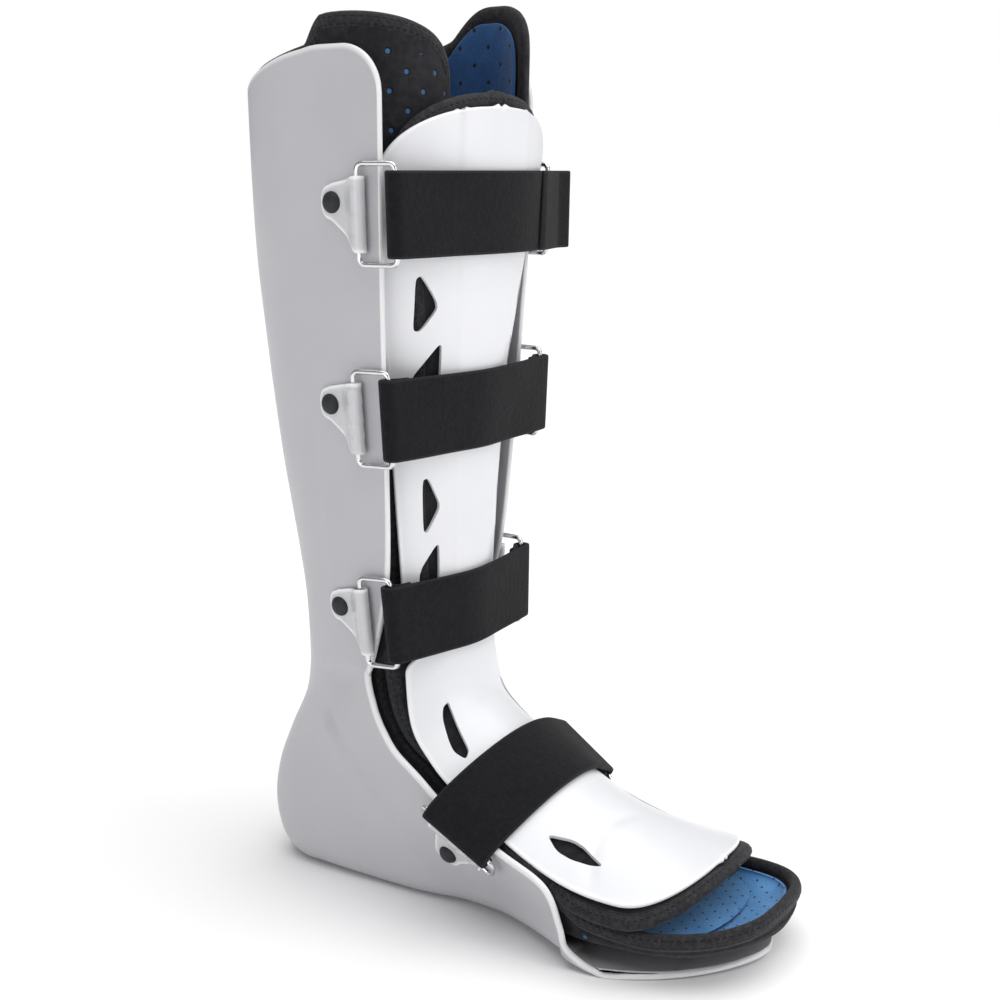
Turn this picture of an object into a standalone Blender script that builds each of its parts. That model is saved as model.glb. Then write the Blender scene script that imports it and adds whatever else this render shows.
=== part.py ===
"""High walking boot: a moulded rear shell with a sole, a padded liner, two front plates and four straps.

Metres, +Z up, the toe towards -Y, right boot. The origin is on the flat sole, below the ankle.
"""

from math import cos, pi, sin

import bmesh
import bpy
import numpy as np
from mathutils import Vector

# Overall sizes
ANKLE_HEIGHT = 0.122  # floor to the level section at the ankle
LEG_RISE = 0.260  # ankle section to the rear edge of the shell
HEEL_REACH = 0.137  # origin to the back of the heel
TOE_REACH = 0.131  # origin to the toe of the sole
CALF_HALF = 0.062  # half the width of the shell at its top
SOLE_HALF = 0.051  # half the width of the sole at the ball of the foot
TOE_SWAY = 0.012  # how far the toe swings to the inner side of the foot
TOE_LIFT = 0.004  # how far the toe of the sole rises off the floor
BALL_REACH = 0.062  # origin to the widest part of the sole
BEND_START = 0.040  # origin to where the toe begins to swing and to rise

# Walls
SHELL_WALL = 0.003
PAD_WALL = 0.004
LINING_WALL = 0.0013
LINER_ROOM = 0.0010  # air between the shell and the liner
LINING_ROOM = 0.0018  # air between the liner and its lining
INSOLE_ROOM = 0.0021  # air round the footbed
PLATE_WALL = 0.0025
GAP = 0.0004
INSOLE_TOP = 0.0185  # floor to the top of the footbed

# Shell details
EAR_RISE = 0.021  # the sides of the shell above its rear edge
EAR_ROUND = 0.020  # radius of the front corner of each side
SPINE_PROUD = 0.006  # the ridge down the back of the calf
SPINE_HALF = 0.020
TURN_SHARE = 0.60  # share of the columns that go round the back of a section
SOLE_FLAT = 0.0016  # how much of the sole's rounding is pressed flat where it stands on the floor
SOLE_FADE = 0.010  # height at which that pressing ends

# Liner
WING_RISE = 0.034  # top of the outer wing above the rear edge of the shell
WING_RISE_FAR = 0.045
LINER_REAR_RISE = 0.010
WRAP_SETBACK = 0.020  # the liner begins to turn in behind the plate this far behind the shell's edge
WRAP_REACH = 0.022  # length of that turned part
WRAP_CURL = 0.015  # radius of the turn
FOLD_SETBACK = 0.007  # the same three beside the instep
FOLD_REACH = 0.013
FOLD_CURL = 0.009
WING_SETBACK = 0.034  # the same three for the outer wing at the top
WING_MIDDLE_REACH = 0.050
WING_REACH = 0.068
WING_CURL = 0.036
WING_REACH_FAR = 0.026  # and for the inner wing, which hardly turns
WING_CURL_FAR = 0.040
LINER_TOE = 0.138  # origin to the toe of the liner
LINER_HALF = 0.050  # half the width of the toe tray
TRAY_HEIGHT = 0.023  # rim of the toe tray
TRAY_FLOOR = 0.006  # underside of the toe tray
LINER_PAST = 0.001  # how far the liner's edge stands past the shell's along the leg and foot
LINING_SETBACK = 0.007  # the lining stops this far from the liner's rim

# Plates and pads
PAD_MARGIN = 0.005  # the pads stand out past the top of the shin plate and the toe of the foot plate
PAD_ROOM = 0.0008  # air between a plate and its pad
PLATE_TOP_ROUND = 0.034
PLATE_TOE_ROUND = 0.026
PLATE_SEAM_ROUND = 0.010
FOOT_PLATE_REACH = 0.108  # origin to the front edge of the foot plate
SHIN_TOP = 0.985  # top and bottom of the shin plate, and top of the foot plate, as shares of LEG_RISE
SHIN_BOTTOM = 0.075
FOOT_TOP = 0.035
END_FLAT = 0.30  # share of a plate's width that stays straight at its ends
PLATE_SQUARENESS = 2.4
CUT_REACH = 0.008
TAIL_LENGTH = 0.011  # the strap's end sewn under itself past each ring

# Straps, rings, tabs and rivets
STRAP_WIDTH = 0.037
STRAP_WALL = 0.0024
STRAP_LIFT = 0.0010  # air between a strap and the plate at its tightest
RING_WIRE = 0.0024
RING_CLEAR = 0.0009  # air round the wire inside a strap's or a tab's fold
RING_SIDE = 0.0017  # air between the strap's edges and the ring's short ends
RING_ROUND = 0.0026
RING_TURN = 0.0035  # most that a ring's front bar is nearer to the middle than its rear bar
TAB_WALL = 0.0013
LEG_TAB_ROOM = 0.0005  # air between a tab and the shell
FOOT_TAB_ROOM = 0.0014
TAB_RISE = 0.005  # the tab's riveted end is higher than its ring
TAB_LENGTH = 0.022  # from the ring's rear bar to the tab's round end
TAB_END_HALF = 0.007
RIVET_RADIUS = 0.0048
RIVET_HEIGHT = 0.0024
FLAP_REACH = 0.003  # the free end of the top strap past its ring
FLAP_START = 0.55  # where it lies on the strap, as shares of the way from the middle to the ring
FLAP_LEAVE = 0.78
FLAP_LIFT = 0.001
LEAN_START = 0.35  # where a strap stops following the front line's lean, as shares of the same way
LEAN_RUN = 0.50
STRAP_SPACING = 0.0055  # between the corners of a strap's faces
TAB_TAPER = 0.72  # share of the tab's length that narrows before its round end
TAB_TUCK = 0.0025  # the tab's end under the ring's bar
RIVET_BACK = 0.74  # from the bar to the rivet, as a share of TAB_LENGTH
RIVET_ROOM = 0.0006
SLOPE_STEP = 0.004  # distance over which the shell's slope is read
RIVET_SIDES = 10
RIVET_CROWN = 0.60  # radius of the head's flat top as a share of the rivet's

# Sections of the shell from the top down to the ankle: rise is a share of LEG_RISE, rear and front are
# shares of HEEL_REACH, base and edge are shares of CALF_HALF, round is the share of the section's
# depth that its rounded back takes.
LEG_ROWS = (
    # rise, rear, front, base, edge, round
    (1.20, 0.985, 0.214, 1.01, 1.010, 0.60),
    (0.80, 0.975, 0.225, 0.975, 0.985, 0.60),
    (0.60, 0.945, 0.240, 0.93, 0.940, 0.60),
    (0.38, 0.895, 0.258, 0.87, 0.870, 0.61),
    (0.20, 0.840, 0.281, 0.80, 0.810, 0.62),
    (0.10, 0.815, 0.321, 0.75, 0.770, 0.63),
    (0.00, 0.805, 0.385, 0.71, 0.735, 0.64),
)

# Sections from the ankle round the heel and along the sole to the ball of the foot: lengths behind the
# origin are shares of HEEL_REACH, those before it of TOE_REACH, heights of ANKLE_HEIGHT, base and
# edge of SOLE_HALF.
FOOT_ROWS = (
    # rear_y, rear_z, front_y, front_z, base, edge, round
    (0.820, 0.87, 0.402, 0.970, 0.800, 0.885, 0.62),
    (0.850, 0.74, 0.405, 0.950, 0.745, 0.885, 0.58),
    (0.925, 0.57, 0.403, 0.925, 0.700, 0.885, 0.52),
    (0.985, 0.38, 0.398, 0.900, 0.665, 0.885, 0.44),
    (0.995, 0.19, 0.393, 0.878, 0.645, 0.885, 0.36),
    (0.950, 0.05, 0.387, 0.857, 0.635, 0.885, 0.30),
    (0.860, 0.00, 0.381, 0.835, 0.630, 0.885, 0.24),
    (0.740, 0.00, 0.371, 0.800, 0.620, 0.885, 0.20),
    (0.560, 0.00, 0.345, 0.745, 0.600, 0.890, 0.18),
    (0.380, 0.00, 0.290, 0.665, 0.575, 0.900, 0.18),
    (0.220, 0.00, 0.190, 0.585, 0.550, 0.910, 0.20),
    (0.090, 0.00, 0.080, 0.500, 0.535, 0.935, 0.24),
    (-0.060, 0.00, -0.060, 0.430, 0.570, 0.970, 0.28),
    (-0.200, 0.00, -0.200, 0.375, 0.690, 1.000, 0.32),
    (-0.310, 0.00, -0.325, 0.325, 0.830, 1.010, 0.38),
    (-0.375, 0.00, -0.380, 0.270, 0.920, 1.015, 0.44),
    (-0.415, 0.00, -0.415, 0.165, 0.965, 1.010, 0.58),
    (-0.445, 0.00, -0.445, 0.080, 0.990, 1.005, 0.72),
)
SOLE_LIP = 0.020  # share of ANKLE_HEIGHT that the sole's edge turns up in front of the walls
SOLE_POINT = 1.7  # exponent of the sole's toe outline
TRAY_POINT = 2.8  # exponent of the toe tray's outline
TOE_ROWS = 7
# The liner where it leaves the shell: how far ahead as a share of BALL_REACH, how far its underside has
# risen to the tray's, its rim as a share of TRAY_HEIGHT, base and edge as shares of LINER_HALF
LINER_BALL_ROWS = (
    # ahead, floor, rim, base, edge, round
    (0.80, 0.00, 1.50, 0.84, 0.93, 0.42),
    (0.95, 0.10, 1.30, 0.90, 0.97, 0.52),
    (1.12, 0.55, 1.12, 0.95, 1.00, 0.66),
)

# The line down the middle of the front plates: rise is a share of LEG_RISE above the ankle, y is a
# share of HEEL_REACH behind the origin or of TOE_REACH before it, z a share of ANKLE_HEIGHT; half, drop
# and pad are shares of CALF_HALF: half the plate's width there, how far its edge falls back, and half
# the pad's width. turn is how far the plate is turned towards its inner side, as a slope.
SHIN_ROWS = (
    # rise, y, tilt in degrees, half, drop, pad, turn
    (1.100, 0.040, 0, 0.900, 0.315, 0.800, 0.140),
    (0.920, 0.054, 0, 0.900, 0.315, 0.790, 0.138),
    (0.804, 0.070, 0, 0.870, 0.330, 0.730, 0.100),
    (0.665, 0.089, 0, 0.840, 0.345, 0.640, 0.050),
    (0.523, 0.117, 0, 0.750, 0.330, 0.580, 0.030),
    (0.308, 0.146, 0, 0.669, 0.282, 0.540, 0.010),
    (0.165, 0.157, 0, 0.620, 0.258, 0.500, 0.000),
    (0.070, 0.161, 4, 0.590, 0.250, 0.480, 0.000),
)
INSTEP_ROWS = (
    # y, z, tilt in degrees, half, drop, pad, turn
    (0.152, 0.970, 15, 0.600, 0.260, 0.470, 0),
    (0.128, 0.840, 34, 0.630, 0.280, 0.470, 0),
    (0.070, 0.765, 47, 0.650, 0.290, 0.480, 0),
    (-0.010, 0.705, 55, 0.680, 0.300, 0.500, 0),
    (-0.180, 0.603, 60, 0.720, 0.305, 0.560, 0),
    (-0.345, 0.508, 65, 0.740, 0.290, 0.660, 0),
    (-0.510, 0.438, 71, 0.760, 0.255, 0.785, 0),
    (-0.690, 0.392, 76, 0.750, 0.195, 0.800, 0),
    (-0.900, 0.358, 80, 0.700, 0.120, 0.750, 0),
)
PLATE_POWER = 2.1

# Cut-outs on the outer side, mirrored on the inner side: x is a share of CALF_HALF, rise of LEG_RISE.
SHIN_HOLES = {
    "upper_triangle": ((0.66, 0.700), (0.62, 0.707), (0.51, 0.662), (0.50, 0.648), (0.60, 0.610), (0.65, 0.612)),
    "upper_slot": ((0.44, 0.585), (0.47, 0.585), (0.61, 0.535), (0.63, 0.515), (0.60, 0.430), (0.42, 0.430)),
    "lower_triangle": ((0.52, 0.345), (0.48, 0.348), (0.39, 0.300), (0.39, 0.288), (0.47, 0.247), (0.50, 0.250)),
    "lower_slot": ((0.38, 0.222), (0.41, 0.222), (0.50, 0.185), (0.52, 0.165), (0.49, 0.080), (0.37, 0.080)),
}
# Slots over the foot: along is a share of the foot plate's line, x of CALF_HALF.
FOOT_HOLES = {
    "instep_slot": ((0.36, 0.150), (0.42, 0.160), (0.52, 0.262), (0.50, 0.300), (0.43, 0.285), (0.36, 0.190)),
    "toe_slot": ((0.54, 0.600), (0.60, 0.650), (0.60, 0.700), (0.54, 0.775), (0.47, 0.700), (0.47, 0.660)),
}

# Straps: rise of the strap's middle above the ankle as a share of LEG_RISE, or along the foot plate's
# line; the front bar of its rings, back from the plate's line as a share of HEEL_REACH; the run from
# the front bar to the rear bar, and how much further forward the ring of the inner side is, as shares
# of HEEL_REACH; the air under its tabs.
STRAP_ROWS = {
    "1": {"rise": 0.810, "bar_back": 0.085, "run": 0.130, "inner_ahead": 0.000, "room": LEG_TAB_ROOM},
    "2": {"rise": 0.465, "bar_back": 0.088, "run": 0.125, "inner_ahead": 0.050, "room": LEG_TAB_ROOM},
    "3": {"rise": 0.095, "bar_back": 0.095, "run": 0.115, "inner_ahead": 0.055, "room": LEG_TAB_ROOM},
    "4": {"along": 0.430, "bar_back": 0.215, "run": 0.075, "inner_ahead": 0.050, "room": FOOT_TAB_ROOM},
}

DENSE = 700  # samples of each smooth line
LEG_STEPS = 7  # rows of faces from the top to the ankle
FOOT_STEPS = 16  # rows of faces from the ankle to the toe
COLUMNS = 17  # columns of points round a section


def smooth_table(rows):
    """A smooth curve through the rows: Catmull-Rom on every column, DENSE samples from first to last."""
    table = np.array(rows, float)
    padded = np.vstack((2 * table[0] - table[1], table, 2 * table[-1] - table[-2]))
    place = np.linspace(0, len(table) - 1 - 1e-9, DENSE)
    index = place.astype(int)
    share = (place - index)[:, None]
    before, start, end, after = (padded[index + k] for k in range(4))
    return 0.5 * (
        2 * start
        + (end - before) * share
        + (2 * before - 5 * start + 4 * end - after) * share**2
        + (3 * start - before - 3 * end + after) * share**3
    )


def reach(share):
    """A share of HEEL_REACH behind the origin, of TOE_REACH before it."""
    return share * (HEEL_REACH if share > 0 else TOE_REACH)


def roundness(share):
    """Exponent of a section's rounded back: a little squarer where the section is a foot's."""
    return 2.2 + 2.0 * np.clip(0.60 - share, 0, 0.40)


def toe_rows(ball, tip, half, point, floor, rim, tip_floor):
    """Upright sections whose widths follow a superellipse from the ball of the foot to the tip."""
    rows = []
    for step in range(1, TOE_ROWS + 1):
        angle = 0.5 * pi * step / TOE_ROWS
        y = -(ball + (tip - ball) * sin(angle) ** (2 / point))
        width = half * max(cos(angle), 0) ** (2 / point) if step < TOE_ROWS else 0
        bottom = floor + (tip_floor - floor) * (1 - cos(angle))
        rows.append((y, bottom, y, rim, width, width, 0.85, 2.2))
    return rows


def shell_rows():
    """Rear y and z, front y and z, base and edge half widths, rounded share and exponent, in metres."""
    rows = [
        (
            rear * HEEL_REACH,
            ANKLE_HEIGHT + rise * LEG_RISE,
            front * HEEL_REACH,
            ANKLE_HEIGHT + rise * LEG_RISE,
            base * CALF_HALF,
            edge * CALF_HALF,
            share,
            roundness(share),
        )
        for rise, rear, front, base, edge, share in LEG_ROWS
    ]
    rows += [
        (
            reach(rear_y),
            rear_z * ANKLE_HEIGHT,
            reach(front_y),
            front_z * ANKLE_HEIGHT,
            base * SOLE_HALF,
            edge * SOLE_HALF,
            share,
            roundness(share),
        )
        for rear_y, rear_z, front_y, front_z, base, edge, share in FOOT_ROWS
    ]
    lip = SOLE_LIP * ANKLE_HEIGHT
    return rows + toe_rows(BALL_REACH, TOE_REACH, SOLE_HALF, SOLE_POINT, 0, lip, 0)


def unit_steps(pair):
    """Unit steps along a line given as two columns."""
    step = np.gradient(pair, axis=0)
    return step / np.maximum(np.linalg.norm(step, axis=1), 1e-9)[:, None]


def inset_line(table, inset):
    """The same sections for a surface this far inside. The rear line moves along its own normal, and
    past the ball of the foot the outline seen from above does too."""
    moved = table.copy()
    rear = unit_steps(table[:, :2])
    plan = unit_steps(table[:, (5, 2)])
    toe = table[:, 2] < -BALL_REACH
    moved[:, 0] += inset * np.where(toe, -plan[:, 0], rear[:, 1])
    moved[:, 1] -= inset * rear[:, 0]
    moved[:, 2] += inset * np.where(toe, -plan[:, 0], 0)
    depth = np.linalg.norm(table[:, 2:4] - table[:, :2], axis=1)
    flare = (table[:, 5] - table[:, 4]) / np.maximum(depth * (1 - table[:, 6]), 1e-3)
    narrower = inset * np.where(toe, -plan[:, 1], np.sqrt(1 + flare**2))
    new_depth = np.maximum(np.linalg.norm(moved[:, 2:4] - moved[:, :2], axis=1), 1e-6)
    moved[:, 4] = np.maximum(table[:, 4] - narrower, 0)
    moved[:, 5] = np.maximum(table[:, 5] - narrower, 0)
    moved[:, 6] = np.clip((table[:, 6] * depth - inset) / new_depth, 0.05, 0.95)
    return moved


def liner_table():
    """The liner's own sections: inside the shell down to the walls' end, then its toe tray. It has a
    section for each of the shell's, so that the two surfaces run side by side."""
    own = 3 + TOE_ROWS
    count = len(SHELL_ROWS)
    inside = inset_line(SHELL_TABLE, SHELL_WALL + LINER_ROOM)
    rows = [tuple(row) for row in inside[np.linspace(0, DENSE - 1, count).astype(int)[: count - own]]]
    seat = SHELL_WALL + LINER_ROOM
    for ahead, floor, rim, base, edge, share in LINER_BALL_ROWS:
        y = -ahead * BALL_REACH
        bottom = seat + floor * (TRAY_FLOOR - seat)
        rows.append((y, bottom, y, rim * TRAY_HEIGHT, base * LINER_HALF, edge * LINER_HALF, share, 2.2))
    ball = LINER_BALL_ROWS[-1][0] * BALL_REACH
    tip_floor = 0.5 * (TRAY_FLOOR + TRAY_HEIGHT)
    rows += toe_rows(ball, LINER_TOE, LINER_HALF, TRAY_POINT, TRAY_FLOOR, TRAY_HEIGHT, tip_floor)
    return smooth_table(rows)


def wall_points(table, place, around, past=0.0, setback=0.0, curl=WING_CURL):
    """Points of a trough: place 0 at the first section and 1 at the last, around -1 to 1 from one front
    edge to the other. past is metres that the wall goes on beyond its front edge, turning in, while
    around goes on to 1.5, or metres that it stops short. setback is where it begins to turn in."""
    samples = np.linspace(0, 1, len(table))
    rear_y, rear_z, front_y, front_z, base, edge, share, exponent = (
        np.interp(place, samples, column) for column in table.T
    )
    side = np.sign(around)
    way = np.abs(around)
    depth = np.hypot(front_y - rear_y, front_z - rear_z)
    turn = np.clip(way / TURN_SHARE, 0, 1) * pi / 2
    power = 2 / exponent
    back = share * depth * (1 - np.maximum(np.cos(turn), 0) ** power)
    wide = base * np.maximum(np.sin(turn), 0) ** power
    wall = np.clip((way - TURN_SHARE) / (1 - TURN_SHARE), 0, 1)
    length = depth * (1 - share)
    reached = wall * np.maximum(length - setback + np.minimum(past, 0), 0.1 * length)
    back = back + reached
    wide = wide + (edge - base) * (reached / np.maximum(length, 1e-9)) ** 1.4
    arc = np.clip((way - 1) / 0.5, 0, 1) * np.maximum(past, 0)
    back = back + curl * np.sin(arc / curl)
    wide = wide - curl * (1 - np.cos(arc / curl))
    unit_y = (front_y - rear_y) / np.maximum(depth, 1e-9)
    unit_z = (front_z - rear_z) / np.maximum(depth, 1e-9)
    return np.stack((side * wide, rear_y + unit_y * back, rear_z + unit_z * back), axis=-1)


def toe_bend(points):
    """Swings the toe to the inner side and lifts it, growing from BEND_START to the tip."""
    moved = points.copy()
    share = np.clip((-points[..., 1] - BEND_START) / (LINER_TOE - BEND_START), 0, 1.1)
    moved[..., 0] += TOE_SWAY * share**1.5
    moved[..., 2] += TOE_LIFT * np.clip((share - 0.45) / 0.55, 0, 1.1) ** 2
    return moved


def swell(share):
    """0 below 0, 1 above 1, smooth between."""
    share = np.clip(share, 0, 1)
    return share * share * (3 - 2 * share)


def shell_relief(points):
    """The ridge down the back of the calf and the heel cup, both pushed straight out of the back."""
    moved = points.copy()
    x, z = points[..., 0], points[..., 2]
    behind = swell((points[..., 1] / HEEL_REACH - 0.45) / 0.3)
    rise = (z - ANKLE_HEIGHT) / LEG_RISE
    ridge = swell((0.81 - rise) / 0.05) * swell((rise - 0.20) / 0.50)
    ridge = ridge * np.exp(-((x / SPINE_HALF) ** 4)) * behind
    moved[..., 1] += SPINE_PROUD * ridge
    return moved


def leg_place(table, heights):
    """The place in the table of level sections at these heights above the ankle."""
    level = table[:, 1] >= ANKLE_HEIGHT
    samples = np.linspace(0, 1, len(table))[level]
    return np.interp(-heights, -table[level, 1], samples)


SHELL_ROWS = shell_rows()
SHELL_TABLE = smooth_table(SHELL_ROWS)
LINER_TABLE = liner_table()
TOP = ANKLE_HEIGHT + LEG_RISE
# Arc from where a top section's straight wall begins to its front edge, spread over the columns there
FRONT_DEPTH = (LEG_ROWS[0][1] - LEG_ROWS[0][2]) * HEEL_REACH * (1 - LEG_ROWS[0][5]) / (1 - TURN_SHARE)


def grid_faces(rows, columns):
    """Quads of a grid whose points run row by row."""
    first = (np.arange(rows - 1)[:, None] * columns + np.arange(columns - 1)).reshape(-1)
    return np.stack((first, first + 1, first + columns + 1, first + columns), axis=1)


def material(name, color, roughness, metallic=0.0):
    made = bpy.data.materials.new(name)
    made.use_nodes = True
    shader = made.node_tree.nodes["Principled BSDF"]
    shader.inputs["Base Color"].default_value = (*color, 1)
    shader.inputs["Roughness"].default_value = roughness
    shader.inputs["Metallic"].default_value = metallic
    made.diffuse_color = (*color, 1)
    return made


def add_object(name, mesh, surface, collection):
    made = bpy.data.objects.new(name, mesh)
    made.data.materials.append(surface)
    collection.objects.link(made)
    return made


def mesh_from(name, points, faces, merge=1e-5):
    """A mesh of these faces, its doubles merged and its normals made to agree."""
    mesh = bpy.data.meshes.new(name)
    mesh.from_pydata(points.reshape(-1, 3).tolist(), [], faces.tolist())
    work = bmesh.new()
    work.from_mesh(mesh)
    bmesh.ops.remove_doubles(work, verts=work.verts, dist=merge)
    bmesh.ops.dissolve_degenerate(work, edges=work.edges, dist=merge)
    work.to_mesh(mesh)
    work.free()
    mesh.shade_smooth()
    return mesh


def add_solidify(thing, thickness):
    """A wall on the inner side of an open surface."""
    wall = thing.modifiers.new("Wall", "SOLIDIFY")
    wall.thickness = thickness
    wall.offset = -1
    return wall


def trough_places(table, around, leg_rows, foot_rows, tops):
    """Places for a grid: leg rows spread from the top edge of each column to the ankle, then foot rows."""
    ankle_place = leg_place(table, np.array([ANKLE_HEIGHT]))[0]
    share = np.linspace(0, 1, leg_rows)[:, None]
    heights = tops[None, :] + (ANKLE_HEIGHT - tops[None, :]) * share
    upper = leg_place(table, heights)
    lower = np.linspace(ankle_place, 1, foot_rows + 1)[1:, None] + np.zeros((1, len(around)))
    return np.vstack((upper, lower))


def column_spread(count):
    """Columns from one front edge to the other, closer together at the front edges."""
    even = np.linspace(-1, 1, count)
    return np.sign(even) * np.abs(even) ** 0.92


def shell_tops(around):
    """Top edge of the shell: low at the rear, high at the sides, rounded down at the front corners."""
    crest = TOP + EAR_RISE * swell((np.abs(around) - 0.10) / 0.60)
    from_front = (1 - np.abs(around)) * FRONT_DEPTH
    inside = np.maximum(EAR_ROUND - from_front, 0)
    return crest - EAR_ROUND + np.sqrt(EAR_ROUND**2 - np.minimum(inside, EAR_ROUND) ** 2)


def build_rear_shell(collection, surface):
    around = column_spread(COLUMNS)
    places = trough_places(SHELL_TABLE, around, LEG_STEPS, FOOT_STEPS, shell_tops(around))
    points = wall_points(SHELL_TABLE, places, np.broadcast_to(around, places.shape))
    height = np.maximum(points[..., 2], 0)
    pressed = SOLE_FLAT * np.clip(1 - height / SOLE_FADE, 0, 1)
    points[..., 2] = np.maximum(height - pressed, 0)
    points = toe_bend(shell_relief(points))
    mesh = mesh_from("rear_shell", points, grid_faces(*places.shape))
    shell = add_object("rear_shell", mesh, surface, collection)
    add_solidify(shell, SHELL_WALL)
    return shell


def wing_shape(heights, fronts, around):
    """How far the liner's wall goes past the shell's front edge, how far behind that edge it begins to
    turn in, and the radius of its turn. It turns in beside the instep and behind the shin plate all the
    way up the leg, and most at the top of the outer side. heights are the sections' rear ends above the
    floor, fronts how far their front edges are behind the origin."""
    rise = (heights - ANKLE_HEIGHT) / LEG_RISE
    instep = swell((fronts / BALL_REACH + 0.50) / 0.45)
    leg = swell((rise - 0.02) / 0.24)
    top = swell((rise - 0.80) / 0.20)
    near = np.where(around < 0, swell((rise - 0.60) / 0.25), 0)
    far_top = np.where(around < 0, 0, top)
    past = LINER_PAST + (FOLD_REACH - LINER_PAST) * instep + (WRAP_REACH - FOLD_REACH) * leg
    past = past + (WING_MIDDLE_REACH - WRAP_REACH) * near
    past = past + np.where(around < 0, WING_REACH - WING_MIDDLE_REACH, WING_REACH_FAR - WRAP_REACH) * top
    setback = FOLD_SETBACK * instep + (WRAP_SETBACK - FOLD_SETBACK) * leg + (WING_SETBACK - WRAP_SETBACK) * near
    curl = FOLD_CURL + (WRAP_CURL - FOLD_CURL) * leg
    curl = curl + (WING_CURL - WRAP_CURL) * near + (WING_CURL_FAR - WRAP_CURL) * far_top
    return past, setback, curl


def liner_points(inset, around, leg_rows, foot_rows, drop):
    """The liner's surface this far inside its outer face, its rim this far from the liner's rim.
    around runs from -1.5 to 1.5, and the last half on each side lies past the shell's front edge."""
    way = np.abs(around)
    side_rise = np.where(around < 0, WING_RISE, WING_RISE_FAR)
    crest = TOP + LINER_REAR_RISE + (side_rise - LINER_REAR_RISE) * swell((way - 0.25) / 0.90)
    front_round = np.where(around < 0, 0.75, 0.45) * side_rise
    front = 1 - np.sqrt(np.maximum(1 - np.clip((way - 1.10) / 0.40, 0, 1) ** 2, 0))
    tops = crest - drop - front_round * front
    table = inset_line(LINER_TABLE, inset)
    places = trough_places(table, around, leg_rows, foot_rows, tops)
    samples = np.linspace(0, 1, len(table))
    heights = np.interp(places, samples, table[:, 1])
    fronts = np.interp(places, samples, table[:, 2])
    past, setback, curl = wing_shape(heights, fronts, around[None, :])
    columns = np.broadcast_to(around, places.shape)
    return wall_points(table, places, columns, past - drop, setback, curl - inset), places.shape


def liner_columns():
    wing = 1 + 0.5 * np.arange(1, 4) / 3
    return np.concatenate((-wing[::-1], column_spread(COLUMNS), wing))


def build_liner(collection, surface):
    points, shape = liner_points(0, liner_columns(), LEG_STEPS, FOOT_STEPS, 0)
    mesh = mesh_from("liner_pad", toe_bend(points), grid_faces(*shape))
    liner = add_object("liner_pad", mesh, surface, collection)
    add_solidify(liner, PAD_WALL)
    return liner


def build_lining(collection, surface):
    inset = PAD_WALL + LINING_ROOM
    points, shape = liner_points(inset, liner_columns(), LEG_STEPS, FOOT_STEPS, LINING_SETBACK)
    mesh = mesh_from("liner_lining", toe_bend(points), grid_faces(*shape))
    lining = add_object("liner_lining", mesh, surface, collection)
    add_solidify(lining, LINING_WALL)
    return lining


def build_insole(collection, surface):
    """The footbed: the trough inside the lining, filled up to a level top."""
    table = inset_line(LINER_TABLE, PAD_WALL + LINING_ROOM + LINING_WALL + INSOLE_ROOM)
    samples = np.linspace(0, 1, len(table))
    low = (table[:, 1] < INSOLE_TOP - 0.0012) & (table[:, 4] > 0.004)
    places = np.linspace(samples[low][0], samples[low][-1], 19)
    way = np.linspace(0, 1, 200)
    line = wall_points(table, places[:, None], way[None, :])
    reach_top = np.array([np.interp(INSOLE_TOP, row[:, 2], way) for row in line])
    across = np.linspace(-1, 1, 9)
    under = wall_points(table, places[:, None], reach_top[:, None] * across[None, :])
    over = under[:, :1] + (under[:, -1:] - under[:, :1]) * ((across + 1) / 2)[None, :, None]
    over[..., 2] = INSOLE_TOP
    return points_to_slab("insole", toe_bend(under), toe_bend(over), surface, collection)


def points_to_slab(name, under, over, surface, collection):
    """A closed body between two grids that share their outline or stand apart by a wall."""
    rows, columns = under.shape[:2]
    count = rows * columns
    lower = grid_faces(rows, columns)
    index = np.arange(count).reshape(rows, columns)
    rim = np.concatenate((index[:-1, 0], index[-1, :-1], index[:0:-1, -1], index[0, :0:-1]))
    after = np.roll(rim, -1)
    side = np.stack((rim, after, after + count, rim + count), axis=1)
    faces = np.vstack((lower[:, ::-1], lower + count, side))
    mesh = mesh_from(name, np.vstack((under.reshape(-1, 3), over.reshape(-1, 3))), faces)
    face_outwards(mesh)
    return add_object(name, mesh, surface, collection)


def front_rows():
    """The front line's y, z, tilt, half width, drop, half the pad's width and turn, in metres and radians."""
    rows = [(y * HEEL_REACH, ANKLE_HEIGHT + rise * LEG_RISE, *rest) for rise, y, *rest in SHIN_ROWS]
    rows += [(reach(y), z * ANKLE_HEIGHT, *rest) for y, z, *rest in INSTEP_ROWS]
    scale = np.array((1, 1, pi / 180, CALF_HALF, CALF_HALF, CALF_HALF, 1))
    return np.array(rows) * scale


FRONT_TABLE = smooth_table(front_rows())
FRONT_STEPS = np.hypot(*np.diff(FRONT_TABLE[:, :2], axis=0).T)
FRONT_ALONG = np.concatenate(([0], np.cumsum(FRONT_STEPS)))


def front_column(along, column):
    return np.interp(along, FRONT_ALONG, FRONT_TABLE[:, column])


def front_points(along, x, lift=0.0):
    """Points of the plates' outer face: along is metres down the front line, x is metres across, and
    lift is metres out along the surface's own normal."""
    y, z, tilt, half, drop, _, turn = (front_column(along, column) for column in range(7))
    share = np.abs(x) / half
    fall = drop * share**PLATE_POWER - turn * x
    slope = np.sign(x) * drop * PLATE_POWER / half * share ** (PLATE_POWER - 1) - turn
    out_y, out_z = -np.cos(tilt), np.sin(tilt)
    scale = lift / np.sqrt(1 + slope**2)
    return np.stack(
        (x + slope * scale, y - out_y * fall + out_y * scale, z - out_z * fall + out_z * scale), axis=-1
    )


def along_at(rise):
    """Metres down the front line at this share of LEG_RISE above the ankle."""
    return np.interp(-(ANKLE_HEIGHT + rise * LEG_RISE), -FRONT_TABLE[:, 1], FRONT_ALONG)


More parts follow.
